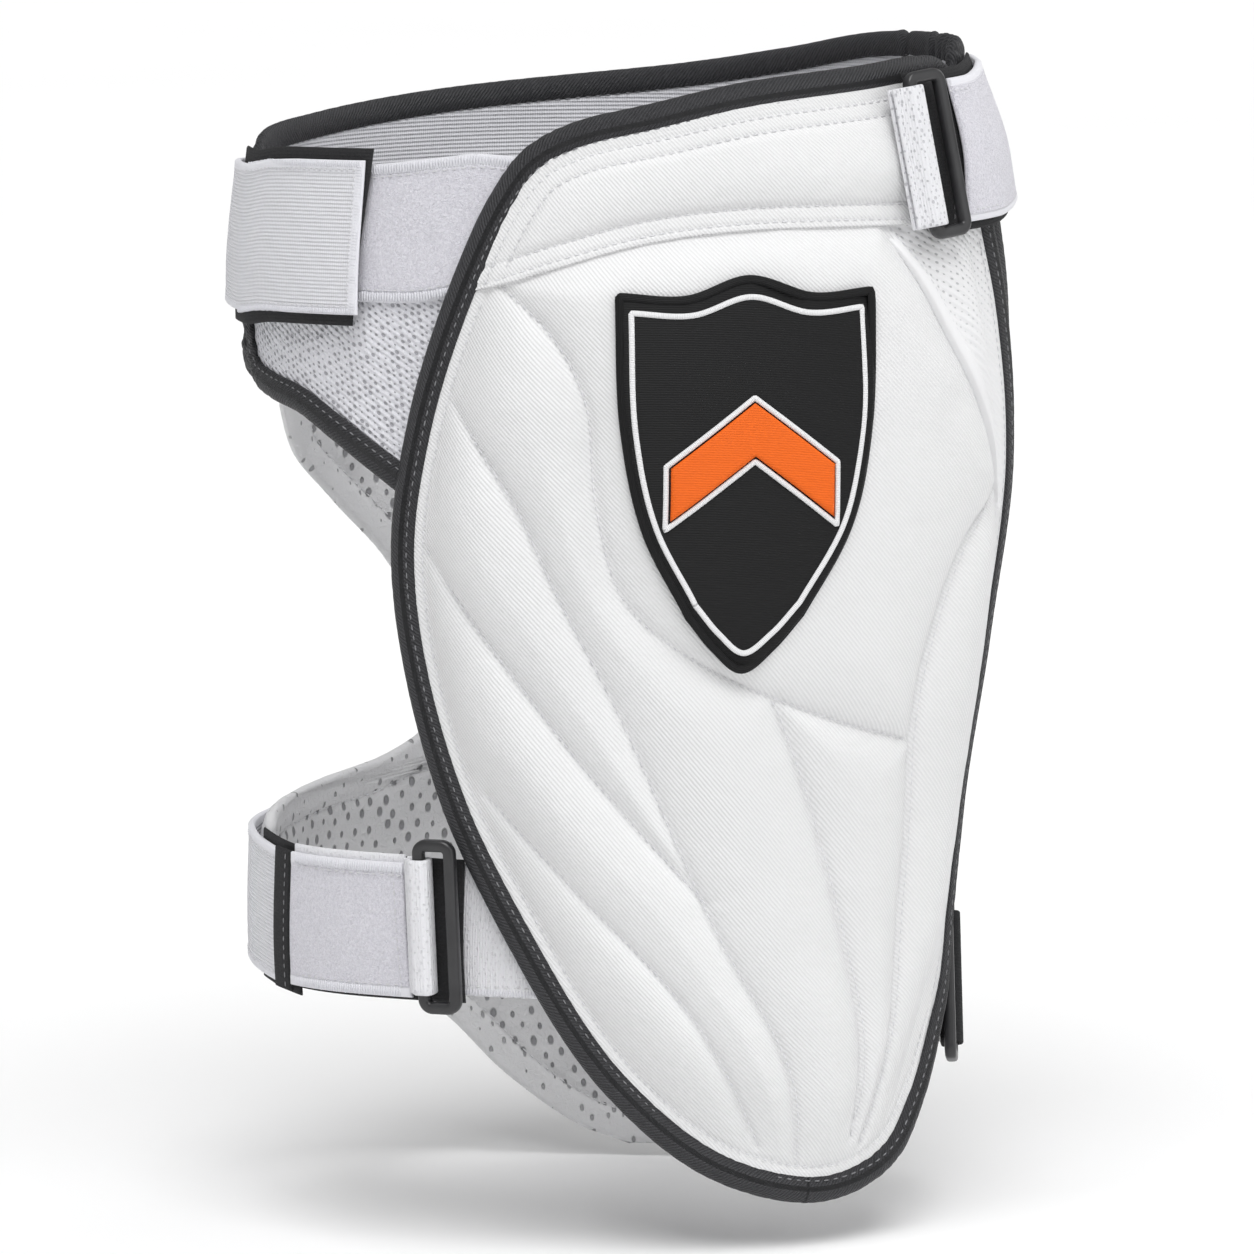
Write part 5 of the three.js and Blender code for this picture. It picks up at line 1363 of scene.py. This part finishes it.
def beside_pad(low, high):
    """Part of the line just under the front binding's outer edge, between two heights at its left."""
    stretch = part(pad_outer, TIP_SHARE, near_pad((-14, 0.42)), 700)
    ends = [int(np.argmin(np.abs(stretch[:, 1] - up * TALL))) for up in (low, high)]
    return evened(stretch[ends[0]:ends[1] + 1], 300)


def side_panel(name, bottom, top, left, right, inner, outer, across, along, material, slot, nodes, wave=0.0,
               seed=1, tucked=False):
    """A thin panel between four lines, with rounded edges. A tucked one runs on under the pad."""
    flat = patch(bottom, top, left, right, across, along)
    border = grid_edge(flat)
    if tucked:
        border = np.vstack([flat[-1, ::-1], flat[::-1, 0], flat[0]])
    near = distance_to(evened(border, 160), flat)
    off = wave * rumple(flat, 30, seed) * np.clip(near / 8, 0, 1)
    middle, half_wall = (inner + outer) / 2 + off, (outer - inner) / 2 * rounding(near, 0.7)
    return finish(shell(name, flat, middle + half_wall, middle - half_wall, edge=near), material, slot,
                  *nodes)


wing_right = beside_pad(0.157, WING_TOP[-1][1])
wing_foot = pinned(part(wing_inner, 0.5, 0), at(wing_inner, 0.5), wing_right[0])
wing_top = pinned(smooth_line(WING_TOP), at(wing_inner, 1), wing_right[-1])
wing = side_panel("wing_mesh", wing_foot, wing_top, part(wing_inner, 0.5, 1), wing_right, BACK_LIFT,
                  BACK_LIFT + MESH_WALL, 90, 70, WING_MESH, "white_mesh", ["mesh_wing"], 0.5, 41)
wing_bead = binding("wing_foot_binding", evened(wing_rim, 320), BAND_BINDING_TALL, 0.9, 6, False,
                    ["wing_binding"], 0.8, [(-80.3, 0.253), (-77.5, 0.234)])
cloth(wing, "stretched", ["front_binding", "wing_foot_binding"])
stitched("wing_binding_stitches", [run(aside(wing_rim, half - 0.9), surface_of(wing_bead))], GREY_THREAD,
         "dark_binding", pitch=3.4, length=2.1, width=0.5, height=0.4, seed=4)

pile_right = beside_pad(PILE_FOOT[-1][1], PILE_TOP[-1][1])
pile_low = pinned(smooth_line(PILE_FOOT), np.array(PILE_FOOT[0]) * (1, TALL), pile_right[0])
pile_high = pinned(smooth_line(PILE_TOP), np.array(PILE_TOP[0]) * (1, TALL), pile_right[-1])
PILE_LIFT = BACK_LIFT + MESH_WALL + 0.3
pile_left = straight(pile_low[:1], pile_high[:1])
pile = side_panel("wing_pile", pile_low, pile_high, pile_left, pile_right, PILE_LIFT, PILE_LIFT + PILE_WALL,
                  90, 40, PILE, "pile_cloth", ["wing_pile_panel"], 0.3, 43, tucked=True)
pile_surface = surface_of(pile)
stitched("pile_stitches", [run(aside(pile_low, -4.2), pile_surface),
                           run(aside(pile_high, 4.2), pile_surface)],
         WHITE_THREAD, "pile_cloth", pitch=3.2, length=2.1, width=0.5, height=0.3, seed=5)
stitched("pile_hem", [run(aside(pile_low, -1.9), pile_surface, 0),
                      run(aside(pile_high, 1.9), pile_surface, 0)],
         HEM_THREAD, "pile_cloth", pitch=1.0, length=0.95, width=3.8, height=0.9, uneven=0.12, seed=6)
cloth(pile, "laid", ["wing_mesh"])

# Back band

band_rim = smooth_line(BAND_RIM, closed=True, count=1500)
band_inner = aside(band_rim, BINDING_WIDE / 2 - 1.5, closed=True)


def near_band(turn, up):
    """The share of the band's inner line nearest to a turn and a share of the height."""
    return share_near(band_inner, (turn, up * TALL))


band_corner, band_top, band_foot = near_band(77.5, 0.485), near_band(270, 0.402), near_band(270, 0.237)
band = side_panel("elastic_band", part(band_inner, 1, band_foot), part(band_inner, band_corner, band_top),
           part(band_inner, 0, band_corner), part(band_inner, band_foot, band_top), BACK_LIFT,
           BACK_LIFT + BAND_WALL, 200, 50, BAND_ELASTIC, "ribbed_elastic", ["back_band"], 0.5, 51)
cloth(band, "stretched", ["front_binding"])
BAND_FOLDS = [(76.5, 0.47), (78, 0.483), (82, 0.491), (86.5, 0.492), (91, 0.492), (96.5, 0.492), (101, 0.492),
              (107, 0.491), (119, 0.488), (271.8, 0.39), (272.4, 0.375), (271, 0.4), (272, 0.255)]
band_bead = binding("band_edge_binding", evened(band_rim, 1300), BAND_BINDING_TALL, 0.9, 8, True,
                    ["band_binding"], 1.6, BAND_FOLDS)


def inside_run(line, lift, spacing=1.6):
    """A run on a piece's inner face."""
    length = length_of(line)
    line = evened(line, int(length / spacing))
    return on_thigh(line, lift), -outward(line)


band_stitch_line = part(aside(band_rim, half - 1.0, closed=True), 0, 1, 900, closed=True)
stitched("band_stitches", [run(band_stitch_line, surface_of(band_bead)), inside_run(band_stitch_line, 0.35)],
         GREY_THREAD, "dark_binding", pitch=3.4, length=2.1, width=0.5, height=0.45, seed=10)

# Back pad

STITCH_INSET, GROOVE_WIDE = 10.5, 1.5


def back_grid(rows_count, cols_count):
    """Flat points over the back pad, between its left and right edges."""
    table = sorted((up, left, right) for left, right, up in BACK_EDGE)
    up = np.linspace(table[0][0], table[-1][0], rows_count)
    left, right = read_table(table, up, 1), read_table(table, up, 2)
    u = np.linspace(0, 1, cols_count)[None]
    turn = BACK_TURN + (-right[:, None] * (1 - u) + left[:, None] * u)
    return np.stack([turn, np.broadcast_to(up[:, None] * TALL, turn.shape)], -1)


def back_pad():
    """The perforated back pad, with a sewn groove inside its edge."""
    flat = back_grid(170, 110)
    border = evened(grid_edge(flat), 260)
    near = distance_to(border, flat)
    rough = back_grid(86, 56)
    near_rough = distance_to(border, rough)
    swell = puffed(rough, np.full(rough.shape[:2], BACK_WALL), np.clip(2.4 - near_rough / 5, 0, 1), 3.0, 1.2)
    wall = BACK_EDGE_WALL + (BACK_WALL - BACK_EDGE_WALL) * np.sin(
        np.clip(near / BACK_ROLL, 0, 1) * math.pi / 2)
    groove = np.exp(-(((near - STITCH_INSET) / GROOVE_WIDE) ** 2))
    round_off = rounding(near, 2.0)
    middle = BACK_LIFT + BACK_EDGE_WALL / 2
    outer = middle + (wall - BACK_EDGE_WALL / 2 - 0.8 * groove) * round_off + finer(swell, near.shape)
    outer = outer + 0.2 * rumple(flat, 22, 61) * np.clip(near / 10, 0, 1)
    inner = middle - (BACK_EDGE_WALL / 2 - 0.9 * groove) * round_off
    inner = inner + 0.25 * rumple(flat, 18, 62) * np.clip(near / 10, 0, 1)
    made = shell("perforated_back_pad", flat, outer, inner, edge=near)
    finish(made, LINING, "perforated_lining", "back_pad")
    loop = smooth_line(border[::5] / (1, TALL), closed=True, count=900)
    inset = [aside(loop, d, closed=True) for d in (STITCH_INSET, -STITCH_INSET)]
    spans = [np.ptp(line[:, 0]) for line in inset]
    line = inset[int(np.argmin(spans))]
    keep = distance_to(border, line) > 9.2
    runs, start = [], None
    for i, good in enumerate(keep):
        if good and start is None:
            start = i
        if start is not None and (not good or i == len(keep) - 1):
            if i - start > 12:
                runs.append(line[start:i])
            start = None
    surface = surface_of(made)
    outside = [run(stretch, surface, 0.15) for stretch in runs]
    inside = [inside_run(stretch, 1.15) for stretch in runs]
    stitched("back_pad_stitches", outside + inside, WHITE_THREAD, "perforated_lining",
             pitch=3.3, length=2.2, width=0.5, height=0.6, seed=12)


back_pad()

# Straps


def strap_edges(table, start, stop, width, inset):
    """Two lines along a strap, in from its long edges."""
    turns = np.linspace(start, stop, 200)
    height = read_table(table, turns) * TALL
    return [np.stack([turns, height + side * (width / 2 - inset)], -1) for side in (-1, 1)]


def cross_line(table, turn, width, inset=0.0, lean=0.0):
    """A line across a strap at a turn."""
    v = np.linspace(-1, 1, 60)
    middle = float(read_table(table, turn)) * TALL
    shift = v * lean / float(per_degree((turn, middle)))
    return np.stack([turn + shift, middle + v * (width / 2 - inset)], -1)


upper_pile = strip("upper_pile", UPPER_STRAP, 58.4, 160, UPPER_WIDE, 0, ELASTIC_WALL, lean=(3, 0), step=1.6,
                   hem=2.2, hem_rise=0.18)
cloth(finish(upper_pile, STRAP_PILE, "pile_cloth", "upper_pile_strap"), "stretched", ["elastic_band"])
upper_elastic = strip("upper_elastic", UPPER_STRAP, 160.1, 318.5, UPPER_WIDE, 0, ELASTIC_WALL, step=1.6,
                      hem=2.4, hem_rise=0.3, hem_end=True, flare=4.0)
cloth(finish(upper_elastic, TAB_ELASTIC, "ribbed_elastic", "upper_elastic_strap"), "stretched",
      ["elastic_band"])
upper_tape = strip("upper_hook", UPPER_STRAP, 277, 318.0, UPPER_TAPE_WIDE + 3.5, -1.7, -0.4, lean=(0, 2.2))
cloth(finish(upper_tape, TAPE, "black_tape", "upper_hook_tape"), "laid", ["wing_pile"])
ring_under = strip("ring_hook", UPPER_STRAP, 49.8, 80, RING_TAPE_WIDE, -2.0, -0.8)
cloth(finish(ring_under, TAPE, "black_tape", "ring_tape"), "laid", ["front_binding"])

elastic_surface, upper_pile_surface = surface_of(upper_elastic), surface_of(upper_pile)
tab_runs = strap_edges(UPPER_STRAP, 161, 255, UPPER_WIDE, 3)
tab_runs += strap_edges(UPPER_STRAP, 286, 317, UPPER_WIDE, 1) + [cross_line(UPPER_STRAP, 317, UPPER_WIDE, 1)]
stitched("tab_stitches", [run(line, elastic_surface) for line in tab_runs], WHITE_THREAD, "ribbed_elastic",
         pitch=2.4, length=1.5, width=0.45, height=0.35, seed=13)
hem_runs = (strap_edges(UPPER_STRAP, 286, 318, UPPER_WIDE, -0.8)
            + [cross_line(UPPER_STRAP, 317.9, UPPER_WIDE, 0)])
stitched("tab_hem", [run(line, elastic_surface, -0.2) for line in hem_runs], HEM_THREAD, "ribbed_elastic",
         pitch=0.95, length=0.9, width=2.3, height=0.8, uneven=0.1, seed=14)
pile_runs = strap_edges(UPPER_STRAP, 59, 159, UPPER_WIDE, 3.9) + [cross_line(UPPER_STRAP, 159, UPPER_WIDE, 2)]
stitched("upper_pile_stitches", [run(line, upper_pile_surface) for line in pile_runs], WHITE_THREAD,
         "pile_cloth", pitch=3.0, length=2.0, width=0.45, height=0.3, seed=15)
stitched("ring_tape_stitches", [run(cross_line(UPPER_STRAP, 56.0, RING_TAPE_WIDE, 2, 3),
                                    surface_of(ring_under))],
         GREY_THREAD, "black_tape", pitch=3.0, length=2.0, width=0.5, height=0.4, seed=16)

LEFT_LEAN = math.tan(math.radians(LEFT_RING["lean"])) * LOWER_WIDE / 2
lower_hook = strip("lower_hook", LOWER_FRONT, -76, -23.7, LOWER_TAPE_WIDE, LOWER_TAPE_LIFT,
                   LOWER_TAPE_LIFT + TAPE_WALL, lean=(0, -0.6))
cloth(finish(lower_hook, TAPE, "black_tape", "lower_hook_tape"), "laid", ["anchor_webbing"])
raised = [(turn, up + 2.5 / TALL) for turn, up in LOWER_FRONT]
lower_return = strip("lower_return", raised, -62.5, -33.6, LOWER_WIDE, RETURN_LIFT, RETURN_LIFT + RETURN_WALL,
                     lean=(0, LEFT_LEAN), hem=3.0, hem_rise=0.2)
cloth(finish(lower_return, PLAIN_WEBBING, "white_webbing", "lower_strap_return"), "laid", ["lower_hook"])
lower_pile = strip("lower_pile", LOWER_FRONT, -62, -33.3, LOWER_WIDE, LOWER_PILE_LIFT,
                   LOWER_PILE_LIFT + PILE_WALL, lean=(0, LEFT_LEAN), hem=2.6, hem_rise=0.3)
cloth(finish(lower_pile, PILE, "pile_cloth", "lower_pile_strap"), "laid", ["lower_return"])
lower_pile_surface = surface_of(lower_pile)
low_runs = strap_edges(LOWER_FRONT, -59, -35, LOWER_WIDE, 4.2)
low_runs += [cross_line(LOWER_FRONT, -35.0, LOWER_WIDE, 4, LEFT_LEAN)]
stitched("lower_pile_stitches", [run(line, lower_pile_surface) for line in low_runs], WHITE_THREAD,
         "pile_cloth", pitch=3.0, length=2.0, width=0.5, height=0.35, seed=17)
low_hems = strap_edges(LOWER_FRONT, -60, -34.4, LOWER_WIDE, 1.9)
stitched("lower_pile_hem", [run(line, lower_pile_surface, -0.15) for line in low_hems], HEM_THREAD,
         "pile_cloth", pitch=1.0, length=0.9, width=3.7, height=0.9, uneven=0.12, seed=18)


def anchor():
    """The webbing that comes from under the front pad to the left ring."""
    right = beside_pad(-0.28, -0.166)
    left = evened(np.array([(-26.5, -0.28 * TALL), (-26.5, -0.166 * TALL)]), 60)
    low, high = straight(left[:1], right[:1]), straight(left[-1:], right[-1:])
    made = side_panel("anchor_webbing", low, high, left, right, 1.0, 1.0 + WEBBING_WALL, 50, 60,
                      PLAIN_WEBBING, "white_webbing", ["lower_anchor"], 0.2, 71)
    cloth(made, "laid", ["front_binding"])
    surface = surface_of(made)
    stitched("anchor_stitches", [run(aside(low, -3.4), surface)], WHITE_THREAD, "white_webbing",
             pitch=3.0, length=2.0, width=0.5, height=0.3, seed=19)
    stitched("anchor_hem", [run(aside(low, -1.6), surface, -0.1)], HEM_THREAD, "white_webbing",
             pitch=1.0, length=0.9, width=3.0, height=0.8, uneven=0.12, seed=20)


anchor()
RIGHT_LEAN = math.tan(math.radians(RIGHT_RING["lean"])) * LOWER_WIDE / 2
lower_elastic = strip("lower_elastic", LOWER_STRAP, 94.4, 293.5, LOWER_WIDE, 0, ELASTIC_WALL,
                      lean=(RIGHT_LEAN, 0), step=1.6, hem=2.4, hem_rise=0.3)
cloth(finish(lower_elastic, STRAP_ELASTIC, "ribbed_elastic", "lower_elastic_strap"), "stretched",
      ["perforated_back_pad"])
lower_surface = surface_of(lower_elastic)
stitched("lower_elastic_stitches", [run(line, lower_surface) for line in strap_edges(
    LOWER_STRAP, 98, 292, LOWER_WIDE, 3.0)], WHITE_THREAD, "ribbed_elastic",
    pitch=3.0, length=2.0, width=0.45, height=0.3, seed=22)
lower_end = strip("lower_end_tape", LOWER_STRAP, 291.6, 297.6, LOWER_WIDE + 2.5, 1.2, 3.1)
finish(lower_end, TAPE, "black_tape")
lower_backing = strip("lower_end_backing", LOWER_STRAP, 279, 298.2, LOWER_WIDE + 5.5, -1.4, -0.2)
cloth(finish(lower_backing, TAPE, "black_tape"), "laid", ["lower_elastic"])
stitched("lower_end_stitches", [run(cross_line(LOWER_STRAP, 296.4, LOWER_WIDE, 1), surface_of(lower_end))],
         GREY_THREAD, "black_tape", pitch=3.0, length=2.0, width=0.5, height=0.4, seed=23)


def right_tape():
    """The black tape between the front pad's right edge and the right ring."""
    low = share_near(pad_outer, (74, -0.355 * TALL))
    high = share_near(pad_outer, (88, -0.235 * TALL))
    left = part(pad_outer, low, high, 60)
    middle = np.array([RIGHT_RING["turn"], RIGHT_RING["up"] * TALL])
    scale = float(per_degree(middle, RIGHT_RING["lift"]))
    ends = [middle + ((7.5 + side * RIGHT_LEAN) / scale, side * LOWER_WIDE / 2) for side in (-1, 1)]
    right = evened(np.array(ends), 60)
    bottom, top = (evened(np.array([left[i], right[i]]), 60) for i in (0, -1))
    made = side_panel("right_hook", bottom, top, left, right, 0.7, 0.7 + TAPE_WALL, 40, 50, TAPE,
                      "black_tape", ["lower_tape_right"])
    cloth(made, "laid", ["front_binding"])


right_tape()

# Rings and their loops


def seat_of(place):
    """The frame of a flat fitting: x round the thigh, y up along the fitting, z outwards, in metres."""
    point = np.array([place["turn"], place["up"] * TALL])
    rise = on_thigh(point + (0, 1), place["lift"]) - on_thigh(point, place["lift"])
    rise = Vector(rise).normalized()
    around = rise.cross(Vector(outward(point))).normalized()
    out = around.cross(rise)
    turn = Matrix.Rotation(-math.radians(place["lean"]), 3, out)
    rise, around = turn @ rise, turn @ around
    spot = Vector(on_thigh(point, place["lift"]))
    return Matrix(((around.x, rise.x, out.x, spot.x), (around.y, rise.y, out.y, spot.y),
                   (around.z, rise.z, out.z, spot.z), (0, 0, 0, 1)))


def rounded_path(wide, tall, corner, arc=10):
    """Points and outward directions round a rectangle with round corners, in its plane."""
    points, ways = [], []
    for sx, sy, first in ((1, -1, -90), (1, 1, 0), (-1, 1, 90), (-1, -1, 180)):
        for angle in np.radians(np.linspace(first, first + 90, arc)):
            way = np.array([math.cos(angle), math.sin(angle)])
            points.append(np.array([sx * (wide / 2 - corner), sy * (tall / 2 - corner)]) + corner * way)
            ways.append(way)
    return np.array(points), np.array(ways)


RING_SQUARENESS = 0.62


def ring(name, place, node):
    """A slide ring: a softly squared bar round a rectangle with round corners."""
    wide, tall = place["wide"] - RING_BAR, place["tall"] - RING_BAR
    points, ways = rounded_path(wide, tall, RING_CORNER - RING_BAR / 2)
    turns = np.radians(np.linspace(0, 360, 20, endpoint=False))
    across = np.sign(np.cos(turns)) * np.abs(np.cos(turns)) ** RING_SQUARENESS * RING_BAR / 2
    out = np.sign(np.sin(turns)) * np.abs(np.sin(turns)) ** RING_SQUARENESS * RING_WALL / 2
    places = []
    for point, way in zip(points, ways):
        for a, b in zip(across, out):
            places.append((*(point + way * a), b))
    count, sides = len(points), len(turns)
    faces = [(i * sides + k, ((i + 1) % count) * sides + k, ((i + 1) % count) * sides + (k + 1) % sides,
              i * sides + (k + 1) % sides) for i in range(count) for k in range(sides)]
    seat = seat_of(place)
    world = [seat @ (Vector(p) * MM) for p in places]
    uv = np.array([(p[0] + p[1], p[2]) for p in places])
    return finish(facing_out(new_mesh(name, world, faces, uv)), PLASTIC, "ring_plastic", node)


def bar_loop(name, place, side, width, tail, material, node):
    """Webbing folded round a ring's bar, its two ends sewn flat together beside it."""
    wall = WEBBING_WALL / 2
    wide, tall = RING_BAR / 2 + 0.35 + wall, RING_WALL / 2 + 0.35 + wall
    end = wide + wall + tail
    corner = [(math.cos(a), math.sin(a)) for a in np.radians(np.linspace(90, 180, 6))]
    path = [(end, 3 * wall - tall), (end - 0.35 * tail - 0.6, 3 * wall - tall + 0.2),
            (wide - 0.4, 0.5 * tall)]
    path += [(wide - 1.3, 0.92 * tall)] + [(1.6 * x - wide + 1.6, 1.6 * y + tall - 1.6) for x, y in corner]
    path += ([(1.6 * x - wide + 1.6, 1.6 - 1.6 * y - tall) for x, y in corner[::-1]]
             + [(wide, -tall), (end, -tall)])
    line = evened(np.array(path) / (FRONT_SCALE, 1), 60) * (FRONT_SCALE, 1)
    for _ in range(4):
        line[1:-1] = line[1:-1] / 2 + (line[:-2] + line[2:]) / 4
    way = np.gradient(line, axis=0)
    way /= np.linalg.norm(way, axis=1, keepdims=True)
    normal = np.stack([way[:, 1], -way[:, 0]], -1)
    if (normal[len(line) // 3] * (line[len(line) // 3] - line.mean(0))).sum() < 0:
        normal = -normal
    gone = np.concatenate([[0], np.cumsum(np.linalg.norm(np.diff(line, axis=0), axis=1))])
    across = spread(width, 0.6, 2.0) - width / 2
    middle = side * (place["wide"] / 2 - RING_BAR / 2)
    seat, rows, cols = seat_of(place), len(across), len(line)
    places, uv = [], []
    for face in (wall, -wall):
        for y in across:
            round_off = float(rounding(width / 2 - abs(y), 0.6))
            off = face * round_off * rounding(np.minimum(gone, gone[-1] - gone) + 0.05, 0.6)
            for (x, z), (nx, nz), o, g in zip(line, normal, off, gone):
                places.append(seat @ (Vector((middle + side * (x + nx * o), y, z + nz * o)) * MM))
                uv.append((g, y))
    faces = grid_faces(rows, cols) + grid_faces(rows, cols, rows * cols, turned=True)
    loop = border_of(rows, cols)
    for a, b in zip(loop, loop[1:] + loop[:1]):
        faces.append((b, a, a + rows * cols, b + rows * cols))
    made = new_mesh(name, places, faces, np.array(uv), np.full(len(places), 9.0))
    out = np.array(seat.to_3x3() @ Vector((0, 0, 1)))
    sewn = [np.array(seat @ (Vector((middle + side * (end - 1.3), y, 4 * wall - tall + 0.15)) * MM))
            for y in np.linspace(1 - width / 2, width / 2 - 1, 40)]
    stitched(name + "_stitches", [(np.array(sewn), np.tile(out, (40, 1)))], WHITE_THREAD, "white_webbing",
             pitch=3.0, length=2.0, width=0.5, height=0.5, seed=24)
    return finish(facing_out(made), material, "white_webbing", node)


ring("upper_slide_ring", TOP_RING, "top_ring")
ring("left_slide_ring", LEFT_RING, "lower_ring_left")
ring("right_slide_ring", RIGHT_RING, "lower_ring_right")
bar_loop("upper_ring_webbing", TOP_RING, -1, UPPER_WIDE, 3.0, WEBBING, "top_loop")
bar_loop("left_ring_webbing", LEFT_RING, -1, LOWER_WIDE, LOOP_TAIL, PLAIN_WEBBING, "lower_loop_left")
bar_loop("right_ring_webbing", RIGHT_RING, 1, LOWER_WIDE, LOOP_TAIL, TAPE, "lower_loop_right")

# Floor and light

FLOOR_HEIGHT, FLOOR_REACH = -0.1965, 12.0
KEY_LIGHT = {"way": (0.0, 0.8, -1.5), "strength": 2.35, "spread": 45}
FILL_LIGHT = {"way": (-1.3, 0.7, -0.5), "strength": 0.65, "spread": 60}
SKY_LIGHT, SKY_SEEN = 0.36, 0.66
floor_mesh = bpy.data.meshes.new("floor")
floor_corners = [(x * FLOOR_REACH, y * FLOOR_REACH, FLOOR_HEIGHT)
                 for x, y in ((-1, -1), (1, -1), (1, 1), (-1, 1))]
floor_mesh.from_pydata(floor_corners, [], [(0, 1, 2, 3)])
floor = bpy.data.objects.new("floor", floor_mesh)
scene.collection.objects.link(floor)
floor_mesh.uv_layers.new(name="UVMap")
floor_mesh.materials.append(pale_floor())


def softbox(name, place, aim, size, watts):
    """A square of soft light that faces a point."""
    light = bpy.data.lights.new(name, "AREA")
    light.shape = "RECTANGLE"
    light.size, light.size_y = size
    light.energy = watts
    obj = bpy.data.objects.new(name, light)
    scene.collection.objects.link(obj)
    obj.location = place
    obj.rotation_euler = (Vector(aim) - Vector(place)).to_track_quat("-Z", "Y").to_euler()


def far_light(name, way, strength, spread):
    """A wide, even light from far off, along a direction."""
    light = bpy.data.lights.new(name, "SUN")
    light.energy = strength
    light.angle = math.radians(spread)
    obj = bpy.data.objects.new(name, light)
    scene.collection.objects.link(obj)
    obj.rotation_euler = Vector(way).to_track_quat("-Z", "Y").to_euler()


far_light("key", **KEY_LIGHT)
far_light("fill", **FILL_LIGHT)
softbox("rim", (1.6, 1.4, 0.9), (0, 0, 0), (0.9, 0.9), 5)
world = bpy.data.worlds.new("studio")
scene.world = world
world.use_nodes = True
sky = world.node_tree
seen = add(sky, "ShaderNodeLightPath").outputs["Is Camera Ray"]
sky.nodes["Background"].inputs["Color"].default_value = (1, 1, 1, 1)
sky.links.new(calc(sky, "MULTIPLY_ADD", seen, SKY_SEEN, SKY_LIGHT),
              sky.nodes["Background"].inputs["Strength"])
scene.view_settings.view_transform = "Standard"
